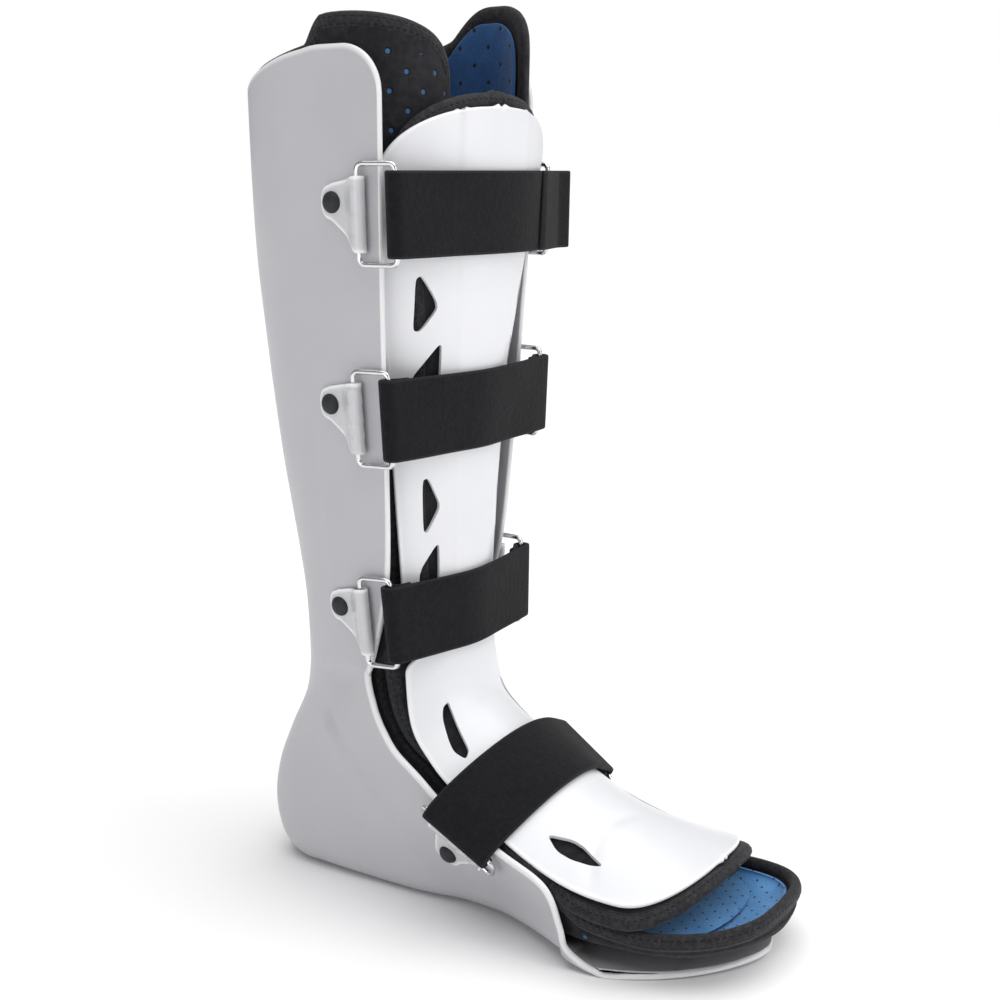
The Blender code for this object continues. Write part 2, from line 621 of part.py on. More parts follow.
def end_taper(along, start, end, start_round, end_round):
    """1 along a plate, falling to 0 at its rounded ends as a superellipse does."""
    power = PLATE_SQUARENESS
    near = np.clip(1 - (along - start) / start_round, 0, 1)
    far = np.clip(1 - (end - along) / end_round, 0, 1)
    return (1 - near**power) ** (1 / power) * (1 - far**power) ** (1 / power)


def plate_alongs(start, end, rows):
    """Rows of a plate, closer together at its rounded ends."""
    turn = np.cos(pi * np.linspace(0, 1, rows))
    return start + (end - start) * (0.5 - 0.5 * turn * (0.75 + 0.25 * np.abs(turn)))


def pad_alongs(plate, before, after):
    """The plate's rows with the ends moved out, so that the pad's faces follow the plate's."""
    return np.concatenate(([plate[0] - before, plate[0]], plate[1:-1], [plate[-1], plate[-1] + after]))


def build_front_piece(name, along, rounds, column, lift, wall, columns, surface, collection):
    """A sheet on the front line whose half width is this column of the front table, with rounded ends."""
    taper = end_taper(along, along[0], along[-1], *rounds)
    half = front_column(along, column) * np.maximum(taper, END_FLAT)
    across = np.linspace(-1, 1, columns)[None, :] * half[:, None]
    points = toe_bend(front_points(np.broadcast_to(along[:, None], across.shape), across, lift))
    mesh = mesh_from(name, points, grid_faces(*across.shape)[:, ::-1])
    made = add_object(name, mesh, surface, collection)
    add_solidify(made, wall)
    return made


def cutter(name, outline, collection):
    """A prism of this outline, given as along and across in metres, standing out of the front face."""
    middle = np.mean(outline, axis=0)
    axis = front_points(middle[0], middle[1], 1.0) - front_points(middle[0], middle[1])
    flat = toe_bend(front_points(outline[:, 0], outline[:, 1]))
    points = np.vstack((flat + axis * CUT_REACH, flat - axis * CUT_REACH))
    count = len(flat)
    faces = [list(range(count)), list(range(2 * count - 1, count - 1, -1))]
    faces += [[k, k + count, (k + 1) % count + count, (k + 1) % count] for k in range(count)]
    mesh = bpy.data.meshes.new(name)
    mesh.from_pydata(points.tolist(), [], faces)
    face_outwards(mesh)
    made = bpy.data.objects.new(name, mesh)
    made.hide_render = True
    made.display_type = "WIRE"
    collection.objects.link(made)
    return made


def cut_holes(plate, holes, cutters):
    """Each outline, in metres along and across, is cut once on each side of the middle."""
    for name, outline in holes.items():
        for side, label in ((-1, "near"), (1, "far")):
            tool = cutter(f"{name}_{label}_cut", np.array(outline) * (1, side), cutters)
            cut = plate.modifiers.new(f"{name} {label}", "BOOLEAN")
            cut.object = tool
            cut.operation = "DIFFERENCE"
            cut.solver = "EXACT"


def shin_holes():
    """The shin plate's cut-outs as metres along the front line and across."""
    return {
        name: [(along_at(rise), x * CALF_HALF) for x, rise in outline]
        for name, outline in SHIN_HOLES.items()
    }


def foot_holes():
    return {
        name: [(FOOT_START + share * (FOOT_END - FOOT_START), x * CALF_HALF) for x, share in outline]
        for name, outline in FOOT_HOLES.items()
    }


SHELL_SIDE = toe_bend(
    wall_points(SHELL_TABLE, np.linspace(0, 0.82, 600)[:, None], np.linspace(TURN_SHARE - 0.1, 1, 70)[None, :])
).reshape(-1, 3)


def nearest(y, z):
    """Which of the points of the shell's side is nearest to each of these places, seen from the side."""
    away = (SHELL_SIDE[:, 1] - np.reshape(y, (-1, 1))) ** 2 + (SHELL_SIDE[:, 2] - np.reshape(z, (-1, 1))) ** 2
    return np.argmin(away, axis=1)


def shell_side(y, z):
    """Half the shell's width outside at these places on its side."""
    return SHELL_SIDE[nearest(y, z), 0].reshape(np.shape(y))


class StrapPlace:
    """A strap's own coordinates: x across, out from the front line, width along it downwards. Everything
    widens along the width as the shell does where the strap's tabs sit. Each side's ring has a front bar
    and a rear bar, given by out and x."""

    def __init__(self, row):
        self.along = along_at(row["rise"]) if "rise" in row else FOOT_START + row["along"] * (FOOT_END - FOOT_START)
        y, z, tilt = (front_column(self.along, column) for column in range(3))
        self.middle = np.array((y, z))
        self.outward = np.array((-cos(tilt), sin(tilt)))
        self.down = np.array((-self.outward[1], self.outward[0]))
        self.room = row["room"]
        rear = -(row["bar_back"] + row["run"]) * HEEL_REACH
        above, below = (float(shell_side(*self.flat(rear, end))) for end in (-STRAP_WIDTH / 2, STRAP_WIDTH / 2))
        self.widening = 2 * (below - above) / ((above + below) * STRAP_WIDTH)
        self.bars = {}
        for side, ahead in ((-1, 0), (1, row["inner_ahead"])):
            front = (ahead - row["bar_back"]) * HEEL_REACH
            rear = front - row["run"] * HEEL_REACH
            self.bars[side] = (front, rear, *self.bar_x(front, rear))

    def flat(self, out, width):
        """y and z of a place in the strap's middle plane."""
        return (
            self.middle[0] + out * self.outward[0] + width * self.down[0],
            self.middle[1] + out * self.outward[1] + width * self.down[1],
        )

    def wall(self, out, width):
        """The shell's side there in strap coordinates, and how far the place is from the shell's nearest."""
        y, z = self.flat(out, width)
        found = SHELL_SIDE[nearest(y, z)]
        return found[:, 0] / (1 + self.widening * width), np.hypot(found[:, 1] - y, found[:, 2] - z)

    def bar_x(self, front, rear):
        """x of the front and rear bars: the rear bar clears the tab under it, and the wire between the two
        clears the shell's front edge."""
        widths = np.linspace(-0.55, 0.55, 9) * STRAP_WIDTH
        rear_x = self.wall(np.full(9, rear), widths)[0].max() + self.room + TAB_WALL + RING_CLEAR + RING_WIRE / 2
        front_x = rear_x - RING_TURN
        for share in np.linspace(0.25, 1, 16):
            x, away = self.wall(np.full(9, rear + share * (front - rear)), widths)
            if away.min() < RING_WIRE:
                fold = RING_CLEAR + STRAP_WALL if share == 1 else 0
                need = x[away < RING_WIRE].max() + GAP + RING_WIRE / 2 + fold
                front_x = max(front_x, rear_x + (need - rear_x) / share)
        # Where the shell goes on in front of the bar, the strap's outer side clears it too.
        x, out, width = self.inverse(SHELL_SIDE)
        beside = (np.abs(width) < STRAP_WIDTH / 2) & (out > front)
        if beside.any():
            front_x = max(front_x, x[beside].max() + STRAP_LIFT + GAP - RING_WIRE / 2 - RING_CLEAR)
        return front_x, rear_x

    def points(self, x, out, width):
        y, z = self.flat(out, width)
        return np.stack(np.broadcast_arrays(x * (1 + self.widening * width), y, z), axis=-1)

    def inverse(self, points):
        """Strap coordinates of points of the boot."""
        away = points[..., 1:] - self.middle
        width = away @ self.down
        return points[..., 0] / (1 + self.widening * width), away @ self.outward, width

    def lean(self, x, width):
        """The front line stands out of the strap's middle plane by this much. The strap follows it at its
        middle and stands straight at its rings."""
        near = np.linspace(self.along - STRAP_WIDTH, self.along + STRAP_WIDTH, 80)
        line = np.stack((front_column(near, 0), front_column(near, 1)), axis=1) - self.middle
        share = 1 - swell((np.abs(x) / self.bars[-1][2] - LEAN_START) / LEAN_RUN)
        return np.interp(width, line @ self.down, line @ self.outward) * share


def strap_obstacles(place):
    """What the strap passes over, as x and out: the plates' and the shell's outer faces, grown by half the
    strap's thickness and its air, wherever they lie under the strap's width."""
    grown = STRAP_LIFT + STRAP_WALL / 2
    alongs = np.linspace(place.along - STRAP_WIDTH, place.along + STRAP_WIDTH, 60)
    shares = np.linspace(-1, 1, 61)
    across = front_column(alongs, 3)[:, None] * shares[None, :]
    plate = toe_bend(front_points(np.broadcast_to(alongs[:, None], across.shape), across, grown))
    found = [plate.reshape(-1, 3)]
    for side in (-1, 1):
        for angle in np.radians((0, 30, 60, 90)):
            shift = np.array((cos(angle), *(place.outward * sin(angle)))) * grown
            found.append((SHELL_SIDE + shift) * (side, 1, 1))
    x, out, width = place.inverse(np.vstack(found))
    front = np.where(x < 0, place.bars[-1][0], place.bars[1][0])
    under = (np.abs(width) < STRAP_WIDTH / 2 + STRAP_LIFT) & (out > front)
    x, out, width = x[under], out[under], width[under]
    return x, out - place.lean(x, width)


def upper_hull(x, out):
    """The points of the outer hull, ordered by x."""
    hull = []
    for point in sorted(zip(x.tolist(), out.tolist())):
        while len(hull) > 1:
            (x0, n0), (x1, n1) = hull[-2:]
            if (x1 - x0) * (point[1] - n0) - (n1 - n0) * (point[0] - x0) < 0:
                break
            hull.pop()
        hull.append(point)
    return hull


def thinned(line, spacing):
    """The points of a line at least this far apart, its two ends kept."""
    kept = [line[0]]
    for point in line[1:-1]:
        if np.hypot(point[0] - kept[-1][0], point[1] - kept[-1][1]) > spacing:
            kept.append(point)
    return kept + [line[-1]]


def arc_points(centre, radius, start, end, steps):
    angles = np.radians(np.linspace(start, end, steps))
    return [(centre[0] + radius * cos(a), centre[1] + radius * sin(a)) for a in angles]


def strap_line(place):
    """The strap's middle line seen end on: from its sewn end round the outer ring's bar, over the plates,
    and round the inner ring's bar to its other sewn end."""
    eye = RING_WIRE / 2 + RING_CLEAR + STRAP_WALL / 2
    hull = np.array(upper_hull(*strap_obstacles(place)))
    ends = []
    for side in (-1, 1):
        bar = np.array((side * place.bars[side][2], place.bars[side][0]))
        away = (hull - bar) * (-side, 1)
        distance = np.hypot(*away.T)
        steep = np.arctan2(away[:, 1], away[:, 0]) - np.arcsin(eye / np.maximum(distance, 1.01 * eye))
        meets = int(np.argmax(steep))
        lean = steep[meets]
        along = np.array((-side * cos(lean), sin(lean)))
        normal = np.array((side * sin(lean), cos(lean)))
        turn = arc_points((0, 0), eye, 90 - np.degrees(lean), -90 - np.degrees(lean), 5)
        fold = [tuple(bar + (side * px, py)) for px, py in turn]
        tail = eye - STRAP_WALL - GAP
        # Where the strap bends close to its bar there is no room for the sewn end, which stops at the fold.
        if distance[meets] > TAIL_LENGTH:
            fold.append(tuple(bar + along * TAIL_LENGTH * 0.45 + normal * tail * 0.3))
            fold.append(tuple(bar + along * TAIL_LENGTH + normal * tail))
        ends.append((meets, fold))
    over = thinned([tuple(point) for point in hull[ends[0][0] : ends[1][0] + 1]], STRAP_SPACING)
    return ends[0][1][::-1] + over + ends[1][1]


def ribbon_outline(line, thickness):
    """A closed outline round a line of points: its left side, then its right side backwards."""
    line = np.asarray(line)
    step = np.gradient(line, axis=0)
    step /= np.linalg.norm(step, axis=1)[:, None]
    left = np.stack((-step[:, 1], step[:, 0]), axis=1) * thickness / 2
    return np.vstack((line + left, (line - left)[::-1]))


def build_strap(label, place, surface, collection):
    outline = ribbon_outline(strap_line(place), STRAP_WALL)
    return extrude_outline(f"strap_{label}", place, outline, surface, collection)


def build_flap(name, place, surface, collection):
    """The free end of the top strap: it lies on the strap and runs straight on past the inner ring."""
    strap = np.array(strap_line(place))
    fold = int(np.argmax(strap[:, 0]))
    x = place.bars[1][2] * np.linspace(FLAP_START, FLAP_LEAVE, 4)
    out = np.interp(x, strap[7:fold, 0], strap[7:fold, 1]) + STRAP_WALL + 3 * GAP
    end = (place.bars[1][2] + FLAP_REACH, out[-1] + FLAP_LIFT)
    outline = ribbon_outline(np.vstack((np.stack((x, out), axis=1), end)), STRAP_WALL)
    return extrude_outline(name, place, outline, surface, collection)


def extrude_outline(name, place, outline, surface, collection):
    """A flat outline filled and given the strap's width, leaning as the front line does."""
    curve = bpy.data.curves.new(name, "CURVE")
    curve.dimensions = "2D"
    curve.fill_mode = "BOTH"
    curve.extrude = STRAP_WIDTH / 2
    spline = curve.splines.new("POLY")
    spline.points.add(len(outline) - 1)
    spline.use_cyclic_u = True
    for point, (x, out) in zip(spline.points, outline):
        point.co = (x, out, 0, 1)
    helper = bpy.data.objects.new(name + " outline", curve)
    collection.objects.link(helper)
    graph = bpy.context.evaluated_depsgraph_get()
    mesh = bpy.data.meshes.new_from_object(helper.evaluated_get(graph))
    bpy.data.objects.remove(helper)
    work = bmesh.new()
    work.from_mesh(mesh)
    bmesh.ops.remove_doubles(work, verts=work.verts, dist=1e-6)
    work.to_mesh(mesh)
    work.free()
    flat = np.empty(3 * len(mesh.vertices))
    mesh.vertices.foreach_get("co", flat)
    x, out, width = flat.reshape(-1, 3).T
    placed = place.points(x, out + place.lean(x, width), width)
    mesh.vertices.foreach_set("co", placed.reshape(-1))
    mesh.name = name
    face_outwards(mesh)
    return add_object(name, mesh, surface, collection)


def face_outwards(mesh):
    work = bmesh.new()
    work.from_mesh(mesh)
    bmesh.ops.recalc_face_normals(work, faces=work.faces)
    work.to_mesh(mesh)
    work.free()


def build_ring(name, place, side, surface, collection):
    """A rectangle of wire: two bars along the strap's width, joined by two short ends."""
    front, rear, front_x, rear_x = place.bars[side]
    half = STRAP_WIDTH / 2 + RING_SIDE + RING_WIRE / 2
    run = (front - rear) / 2
    loop = []
    for first, out_sign, width_sign in ((0, 1, 1), (90, -1, 1), (180, -1, -1), (270, 1, -1)):
        centre = (out_sign * (run - RING_ROUND), width_sign * (half - RING_ROUND))
        loop += arc_points(centre, RING_ROUND, first, first + 90, 2)
    curve = bpy.data.curves.new(name, "CURVE")
    curve.dimensions = "3D"
    curve.bevel_depth = RING_WIRE / 2
    curve.bevel_resolution = 1
    spline = curve.splines.new("POLY")
    spline.points.add(len(loop) - 1)
    spline.use_cyclic_u = True
    for point, (out, width) in zip(spline.points, loop):
        x = np.interp(out, (-run, run), (rear_x, front_x))
        point.co = (*place.points(side * x, rear + run + out, width), 1)
    made = bpy.data.objects.new(name, curve)
    curve.materials.append(surface)
    collection.objects.link(made)
    return made


def tab_half(back):
    """Half the tab's height: full at the ring, falling to a rounded end past the rivet."""
    full = STRAP_WIDTH / 2 - RING_ROUND
    share = np.clip(back / TAB_LENGTH, 0, 1)
    straight = full + (TAB_END_HALF - full) * np.minimum(share / TAB_TAPER, 1)
    end = np.clip((share - TAB_TAPER) / (1 - TAB_TAPER), 0, 1)
    return straight * np.sqrt(1 - (0.94 * end) ** 2)


def tab_shift(back):
    """The tab's middle rises towards its riveted end."""
    return -TAB_RISE * np.clip(back / (RIVET_BACK * TAB_LENGTH), 0, 1)


def shell_slopes(y, z):
    """How fast the shell's side stands out with y and with z."""
    slope_y = (shell_side(y + SLOPE_STEP, z) - shell_side(y - SLOPE_STEP, z)) / (2 * SLOPE_STEP)
    slope_z = (shell_side(y, z + SLOPE_STEP) - shell_side(y, z - SLOPE_STEP)) / (2 * SLOPE_STEP)
    return slope_y, slope_z


def build_tab(name, place, side, surface, collection):
    """A strip on the shell's side that rises over the ring's rear bar and turns back under it."""
    _, rear, _, rear_x = place.bars[side]
    eye = RING_WIRE / 2 + RING_CLEAR + TAB_WALL / 2
    low = place.room + TAB_WALL / 2
    back = [(share * TAB_LENGTH, low) for share in (1.0, 0.93, 0.80, 0.55, 0.36)]
    over = [(-px, eye + low + py) for px, py in arc_points((0, 0), eye, 120, -90, 6)]
    line = np.array(back + over + [(TAB_TUCK, low)])
    step = np.gradient(line, axis=0)
    step /= np.linalg.norm(step, axis=1)[:, None]
    normal = np.stack((-step[:, 1], step[:, 0]), axis=1) * TAB_WALL / 2
    across = np.linspace(-1, 1, 3)[:, None]
    width = across * tab_half(line[:, 0]) + tab_shift(line[:, 0])
    # At the bar the strip is straight, as the bar is; further back it lies on the shell.
    at_bar = np.clip(1 - line[:, 0] / (0.5 * TAB_LENGTH), 0, 1)
    bar_lift = rear_x - place.wall(np.full(3, rear), across[:, 0] * STRAP_WIDTH / 2)[0] - eye - low
    sheets = []
    for edge in (line + normal, line - normal):
        y, z = place.flat(rear - np.broadcast_to(edge[:, 0], width.shape), width)
        slope_y, slope_z = shell_slopes(y, z)
        grown = np.sqrt(1 + slope_y**2 + slope_z**2) * (1 - at_bar) + at_bar
        x = shell_side(y, z) + edge[:, 1] * grown + bar_lift[:, None] * at_bar
        sheets.append(np.stack((side * x, y, z), axis=-1))
    return points_to_slab(name, *sheets, surface, collection)


def build_rivet(name, place, side, surface, collection):
    """A low domed head that stands on the tab."""
    rear = place.bars[side][1]
    back = RIVET_BACK * TAB_LENGTH
    y, z = (float(value) for value in place.flat(rear - back, tab_shift(back)))
    normal = Vector((side, *(-float(slope) for slope in shell_slopes(y, z))))
    lift = (place.room + TAB_WALL + RIVET_ROOM) * normal.length
    normal.normalize()
    mesh = bpy.data.meshes.new(name)
    work = bmesh.new()
    bmesh.ops.create_cone(
        work,
        cap_ends=True,
        segments=RIVET_SIDES,
        radius1=RIVET_RADIUS,
        radius2=RIVET_CROWN * RIVET_RADIUS,
        depth=RIVET_HEIGHT,
    )
    work.to_mesh(mesh)
    work.free()
    made = add_object(name, mesh, surface, collection)
    made.rotation_euler = normal.to_track_quat("Z", "Y").to_euler()
    made.location = Vector((side * (float(shell_side(y, z)) + lift), y, z)) + normal * (RIVET_HEIGHT / 2)
    return made


SHIN_START = along_at(SHIN_TOP)
SHIN_END = along_at(SHIN_BOTTOM)
FOOT_START = along_at(FOOT_TOP)
FOOT_END = np.interp(FOOT_PLATE_REACH, -FRONT_TABLE[:, 0], FRONT_ALONG)


def build_fronts(boot, cutters, plate_plastic, liner_cloth):
    """The two plates with their cut-outs, and the pads behind them."""
    shin_rows = plate_alongs(SHIN_START, SHIN_END, 13)
    foot_rows = plate_alongs(FOOT_START, FOOT_END, 15)
    pad_lift = -(PLATE_WALL + PAD_ROOM)
    top, toe, seam = PLATE_TOP_ROUND, PLATE_TOE_ROUND, PLATE_SEAM_ROUND
    shin = build_front_piece(
        "shin_plate", shin_rows, (top, seam), 3, 0, PLATE_WALL, 13, plate_plastic, boot
    )
    cut_holes(shin, shin_holes(), cutters)
    foot = build_front_piece(
        "foot_plate", foot_rows, (seam, toe), 3, 0, PLATE_WALL, 13, plate_plastic, boot
    )
    cut_holes(foot, foot_holes(), cutters)
    build_front_piece(
        "shin_pad", pad_alongs(shin_rows, PAD_MARGIN, 0), (top, seam), 5, pad_lift, PAD_WALL, 9, liner_cloth, boot
    )
    build_front_piece(
        "foot_pad", pad_alongs(foot_rows, 0, PAD_MARGIN), (seam, toe), 5, pad_lift, PAD_WALL, 9, liner_cloth, boot
    )


def clear_scene():
    for thing in list(bpy.data.objects):
        bpy.data.objects.remove(thing, do_unlink=True)


def main():
    clear_scene()
    boot = bpy.data.collections.new("Walking boot")
    cutters = bpy.data.collections.new("Cutters")
    bpy.context.scene.collection.children.link(boot)
    bpy.context.scene.collection.children.link(cutters)
    shell_plastic = material("Shell plastic", (0.55, 0.55, 0.57), 0.45)
    liner_cloth = material("Black padded cloth", (0.02, 0.02, 0.022), 0.9)
    lining_cloth = material("Blue lining cloth", (0.05, 0.17, 0.45), 0.95)
    plate_plastic = material("White plate plastic", (0.85, 0.85, 0.87), 0.4)
    webbing = material("Black webbing", (0.015, 0.015, 0.017), 0.95)
    chrome = material("Ring wire", (0.75, 0.75, 0.75), 0.15, 1.0)
    tab_plastic = material("Pale tab plastic", (0.62, 0.62, 0.64), 0.35)
    rivet_plastic = material("Black rivet", (0.02, 0.02, 0.02), 0.4)
    build_rear_shell(boot, shell_plastic)
    build_liner(boot, liner_cloth)
    build_lining(boot, lining_cloth)
    build_insole(boot, lining_cloth)
    build_fronts(boot, cutters, plate_plastic, liner_cloth)
    for label, row in STRAP_ROWS.items():
        place = StrapPlace(row)
        build_strap(label, place, webbing, boot)
        for side, where in ((-1, "near"), (1, "far")):
            build_ring(f"ring_{label}_{where}", place, side, chrome, boot)
            build_tab(f"tab_{label}_{where}", place, side, tab_plastic, boot)
            build_rivet(f"rivet_{label}_{where}", place, side, rivet_plastic, boot)
    build_flap("strap_1_flap", StrapPlace(STRAP_ROWS["1"]), webbing, boot)


main()
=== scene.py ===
# %% [markdown]
# # A high walking boot
#
# The boot is a moulded rear shell with its sole, a black padded liner with a blue lining, two white front
# plates on thin pads, and four straps on wire rings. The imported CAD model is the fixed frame: every piece
# below is a finer surface of the same sizes, laid where the CAD piece is. The CAD pieces are faceted, so
# each one is replaced. Metres, +Z up, the toe towards -Y.

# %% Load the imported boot
from math import cos, pi, radians, sin

import bmesh
import bpy
import numpy as np
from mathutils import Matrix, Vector


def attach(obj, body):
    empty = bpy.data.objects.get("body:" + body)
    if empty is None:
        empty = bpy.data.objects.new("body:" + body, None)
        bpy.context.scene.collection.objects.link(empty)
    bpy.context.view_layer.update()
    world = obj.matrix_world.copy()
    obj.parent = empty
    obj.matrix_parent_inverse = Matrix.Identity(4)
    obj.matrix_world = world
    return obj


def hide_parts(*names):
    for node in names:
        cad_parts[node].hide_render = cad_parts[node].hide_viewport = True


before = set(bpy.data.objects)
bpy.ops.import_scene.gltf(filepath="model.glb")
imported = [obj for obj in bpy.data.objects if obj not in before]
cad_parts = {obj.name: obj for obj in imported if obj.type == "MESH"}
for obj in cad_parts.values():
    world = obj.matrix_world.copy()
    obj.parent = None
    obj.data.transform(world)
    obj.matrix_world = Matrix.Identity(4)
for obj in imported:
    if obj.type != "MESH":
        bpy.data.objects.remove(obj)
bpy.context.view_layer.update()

# %% [markdown]
# ## The camera
#
# The photograph is taken from the outer front corner, a little above the top of the boot. A camera has to
# stand where the photographer stood before any shape can be compared, so it comes first. Its place was
# worked out once from the boot's own symmetric pairs of marks, and its lens is a moderate one.

# %% Camera
CAMERA_PLACE = (-0.580, -0.36804, 0.350)
CAMERA_TURN = -57.0  # degrees about the vertical
CAMERA_DIP = 12.3  # degrees below the level
LENS = 54.0  # millimetres on a 36 mm sensor


def place_camera():
    made = bpy.data.objects.new("Camera", bpy.data.cameras.new("Camera"))
    made.data.lens = LENS
    made.data.clip_start = 0.01
    made.location = CAMERA_PLACE
    made.rotation_euler = (radians(90 - CAMERA_DIP), 0, radians(CAMERA_TURN))
    bpy.context.scene.collection.objects.link(made)
    bpy.context.scene.camera = made


place_camera()

# %% [markdown]
# ## The studio
#
# A product shot has a white sweep and large soft boxes. One box in front makes the plates nearly white and
# leaves the outer side of the shell in a soft grey. Area lights give soft shadows for nothing more than
# their size. A very wide sun from above lights the floor evenly as far as it goes, so it meets the white
# world with no edge.

# %% Floor, world and lights
FLOOR_HALF = 40.0
KEY_LIGHT = {"place": (0.35, -2.10, 0.95), "aim": (0, 0, 0.22), "size": 1.3, "watts": 12.0}
SIDE_LIGHT = {"place": (-1.90, -0.10, 0.25), "aim": (0, 0, 0.15), "size": 0.9, "watts": 8.0}
SUN_FROM = (0.10, -0.18, 1.0)
SUN_WIDE = 80.0  # degrees across
SUN_STRENGTH = 2.75
WORLD_GLOW = 0.30
FLOOR_COLOR = (0.92, 0.92, 0.925, 1)


def soft_box(name, place, aim, size, watts):
    """A square area light that points at a place."""
    lamp = bpy.data.lights.new(name, "AREA")
    lamp.energy = watts
    lamp.size = size
    made = bpy.data.objects.new(name, lamp)
    made.location = place
    made.rotation_euler = (Vector(aim) - Vector(place)).to_track_quat("-Z", "Y").to_euler()
    bpy.context.scene.collection.objects.link(made)


def wide_sun():
    """A sun so wide that it acts as an even white ceiling."""
    lamp = bpy.data.lights.new("Ceiling", "SUN")
    lamp.energy = SUN_STRENGTH
    lamp.angle = radians(SUN_WIDE)
    made = bpy.data.objects.new("Ceiling", lamp)
    made.rotation_euler = (-Vector(SUN_FROM)).to_track_quat("-Z", "Y").to_euler()
    bpy.context.scene.collection.objects.link(made)


def lay_floor():
    """A flat square under the boot, a hair below the sole."""
    corner = np.array([(-1, -1, 0), (1, -1, 0), (1, 1, 0), (-1, 1, 0)]) * FLOOR_HALF
    mesh = bpy.data.meshes.new("floor")
    mesh.from_pydata((corner - (0, 0, 0.0002)).tolist(), [], [(0, 1, 2, 3)])
    made = bpy.data.objects.new("floor", mesh)
    bpy.context.scene.collection.objects.link(made)
    paper = bpy.data.materials.new("White paper")
    paper.use_nodes = True
    shader = paper.node_tree.nodes["Principled BSDF"]
    shader.inputs["Base Color"].default_value = FLOOR_COLOR
    shader.inputs["Roughness"].default_value = 0.9
    shader.inputs["Specular IOR Level"].default_value = 0.1
    made.data.materials.append(paper)


def light_world():
    """A white world: it lights the boot softly, and the camera sees it as pure white."""
    world = bpy.data.worlds.new("White studio")
    world.use_nodes = True
    tree = world.node_tree
    glow = tree.nodes["Background"]
    glow.inputs["Strength"].default_value = WORLD_GLOW
    white = tree.nodes.new("ShaderNodeBackground")
    rays = tree.nodes.new("ShaderNodeLightPath")
    pick = tree.nodes.new("ShaderNodeMixShader")
    for background in (glow, white):
        background.inputs["Color"].default_value = (1, 1, 1, 1)
    tree.links.new(rays.outputs["Is Camera Ray"], pick.inputs[0])
    tree.links.new(glow.outputs[0], pick.inputs[1])
    tree.links.new(white.outputs[0], pick.inputs[2])
    tree.links.new(pick.outputs[0], tree.nodes["World Output"].inputs["Surface"])
    bpy.context.scene.world = world


bpy.context.scene.view_settings.view_transform = "Standard"
lay_floor()
light_world()
soft_box("Front soft box", **KEY_LIGHT)
wide_sun()
soft_box("Side soft box", **SIDE_LIGHT)

# %% [markdown]
# ## Shader sums
#
# A finish is a sum of patterns, and sums read best as sums. The class below wraps one socket of a node
# tree, so that `0.4 + 0.1 * noise` adds its own Math nodes. Every other node comes from one method, which
# takes the node's settings first and then what goes into its sockets.

# %% A socket that can be added and multiplied
class Wire:
    """One output socket of a material's nodes."""

    def __init__(self, tree, socket=None):
        self.tree = tree
        self.socket = socket

    def node(self, kind, settings=None, values=None, out=0):
        """Adds a shader node: its settings, then its inputs, each a number, a colour or another wire."""
        made = self.tree.nodes.new("ShaderNode" + kind)
        for name, value in (settings or {}).items():
            setattr(made, name, value)
        for key, value in (values or {}).items():
            if isinstance(value, Wire):
                self.tree.links.new(value.socket, made.inputs[key])
            else:
                made.inputs[key].default_value = value
        return Wire(self.tree, made.outputs[out])

    def math(self, operation, first, second=0.0):
        return self.node("Math", {"operation": operation}, {0: first, 1: second})

    def __add__(self, other):
        return self.math("ADD", self, other)

    def __mul__(self, other):
        return self.math("MULTIPLY", self, other)

    def __sub__(self, other):
        return self.math("SUBTRACT", self, other)

    def __rsub__(self, other):
        return self.math("SUBTRACT", other, self)

    def __truediv__(self, other):
        return self.math("DIVIDE", self, other)

    __radd__ = __add__
    __rmul__ = __mul__

    def least(self, other):
        return self.math("MINIMUM", self, other)

    def fract(self):
        return self.math("FRACT", self)

    def root(self):
        return self.math("SQRT", self)

    def wave(self):
        return self.math("SINE", self)

    def step(self, low, high):
        """0 below low, 1 above high, smooth between. With low above high it falls instead."""
        settings = {"interpolation_type": "SMOOTHSTEP"}
        if low < high:
            return self.node("MapRange", settings, {0: self, 1: low, 2: high})
        return 1 - self.node("MapRange", settings, {0: self, 1: high, 2: low})

    def blend(self, color, other):
        """The first colour where this wire is 0, the other where it is 1."""
        return self.node("Mix", {"data_type": "RGBA"}, {0: self, 6: color, 7: other}, 2)


def noise(start, vector, scale, detail=2.0):
    """Cloudy noise from 0 to 1 with about this many lumps to a metre."""
    values = {"Vector": vector, "Scale": scale, "Detail": detail}
    return start.node("TexNoise", {}, values)


def map_axes(start, name):
    """The two coordinates, in metres, of one of the piece's own maps."""
    flat = start.node("SeparateXYZ", {}, {0: start.node("UVMap", {"uv_map": name})})
    return flat, Wire(start.tree, flat.socket.node.outputs[1])


def from_middle(value, pitch, shift=0.0):
    """Distance from the middle of the nearest cell, in cells of this pitch."""
    return ((value / pitch + shift).fract() - 0.5) * pitch


def dots(u, v, pitch, radius):
    """1 inside dots on a staggered grid: the nearer of two square grids, one moved by half a pitch."""
    grids = []
    for shift in (0.0, 0.5):
        across = from_middle(u, pitch, shift)
        along = from_middle(v, pitch, shift)
        grids.append((across * across + along * along).root())
    return grids[0].least(grids[1]).step(radius * 1.15, radius * 0.8)

# %% [markdown]
# ## The moulded plastics
#
# Shell, plates and tabs are the same family: satin polypropylene with a faint orange peel from the mould.
# A flat colour would look like paint on glass, so roughness drifts in large soft clouds, the peel is a
# shallow bump, and the moulding's thin rim, which the second map measures from, is a touch smoother and
# is painted lighter: a painted highlight that stands in for the light its edges catch.

# %% Plastic finishes
PEEL_SIZE = 1500.0  # lumps to a metre
PEEL_DEPTH = 0.00006
RIM_HIGHLIGHT_AND_POLISH = 0.0022  # how far in from an edge the rim's painted highlight and its smoothness reach


def new_finish(name):
    """An empty material, its shader node, and a wire to start from."""
    made = bpy.data.materials.new(name)
    made.use_nodes = True
    tree = made.node_tree
    return made, tree.nodes["Principled BSDF"], Wire(tree)


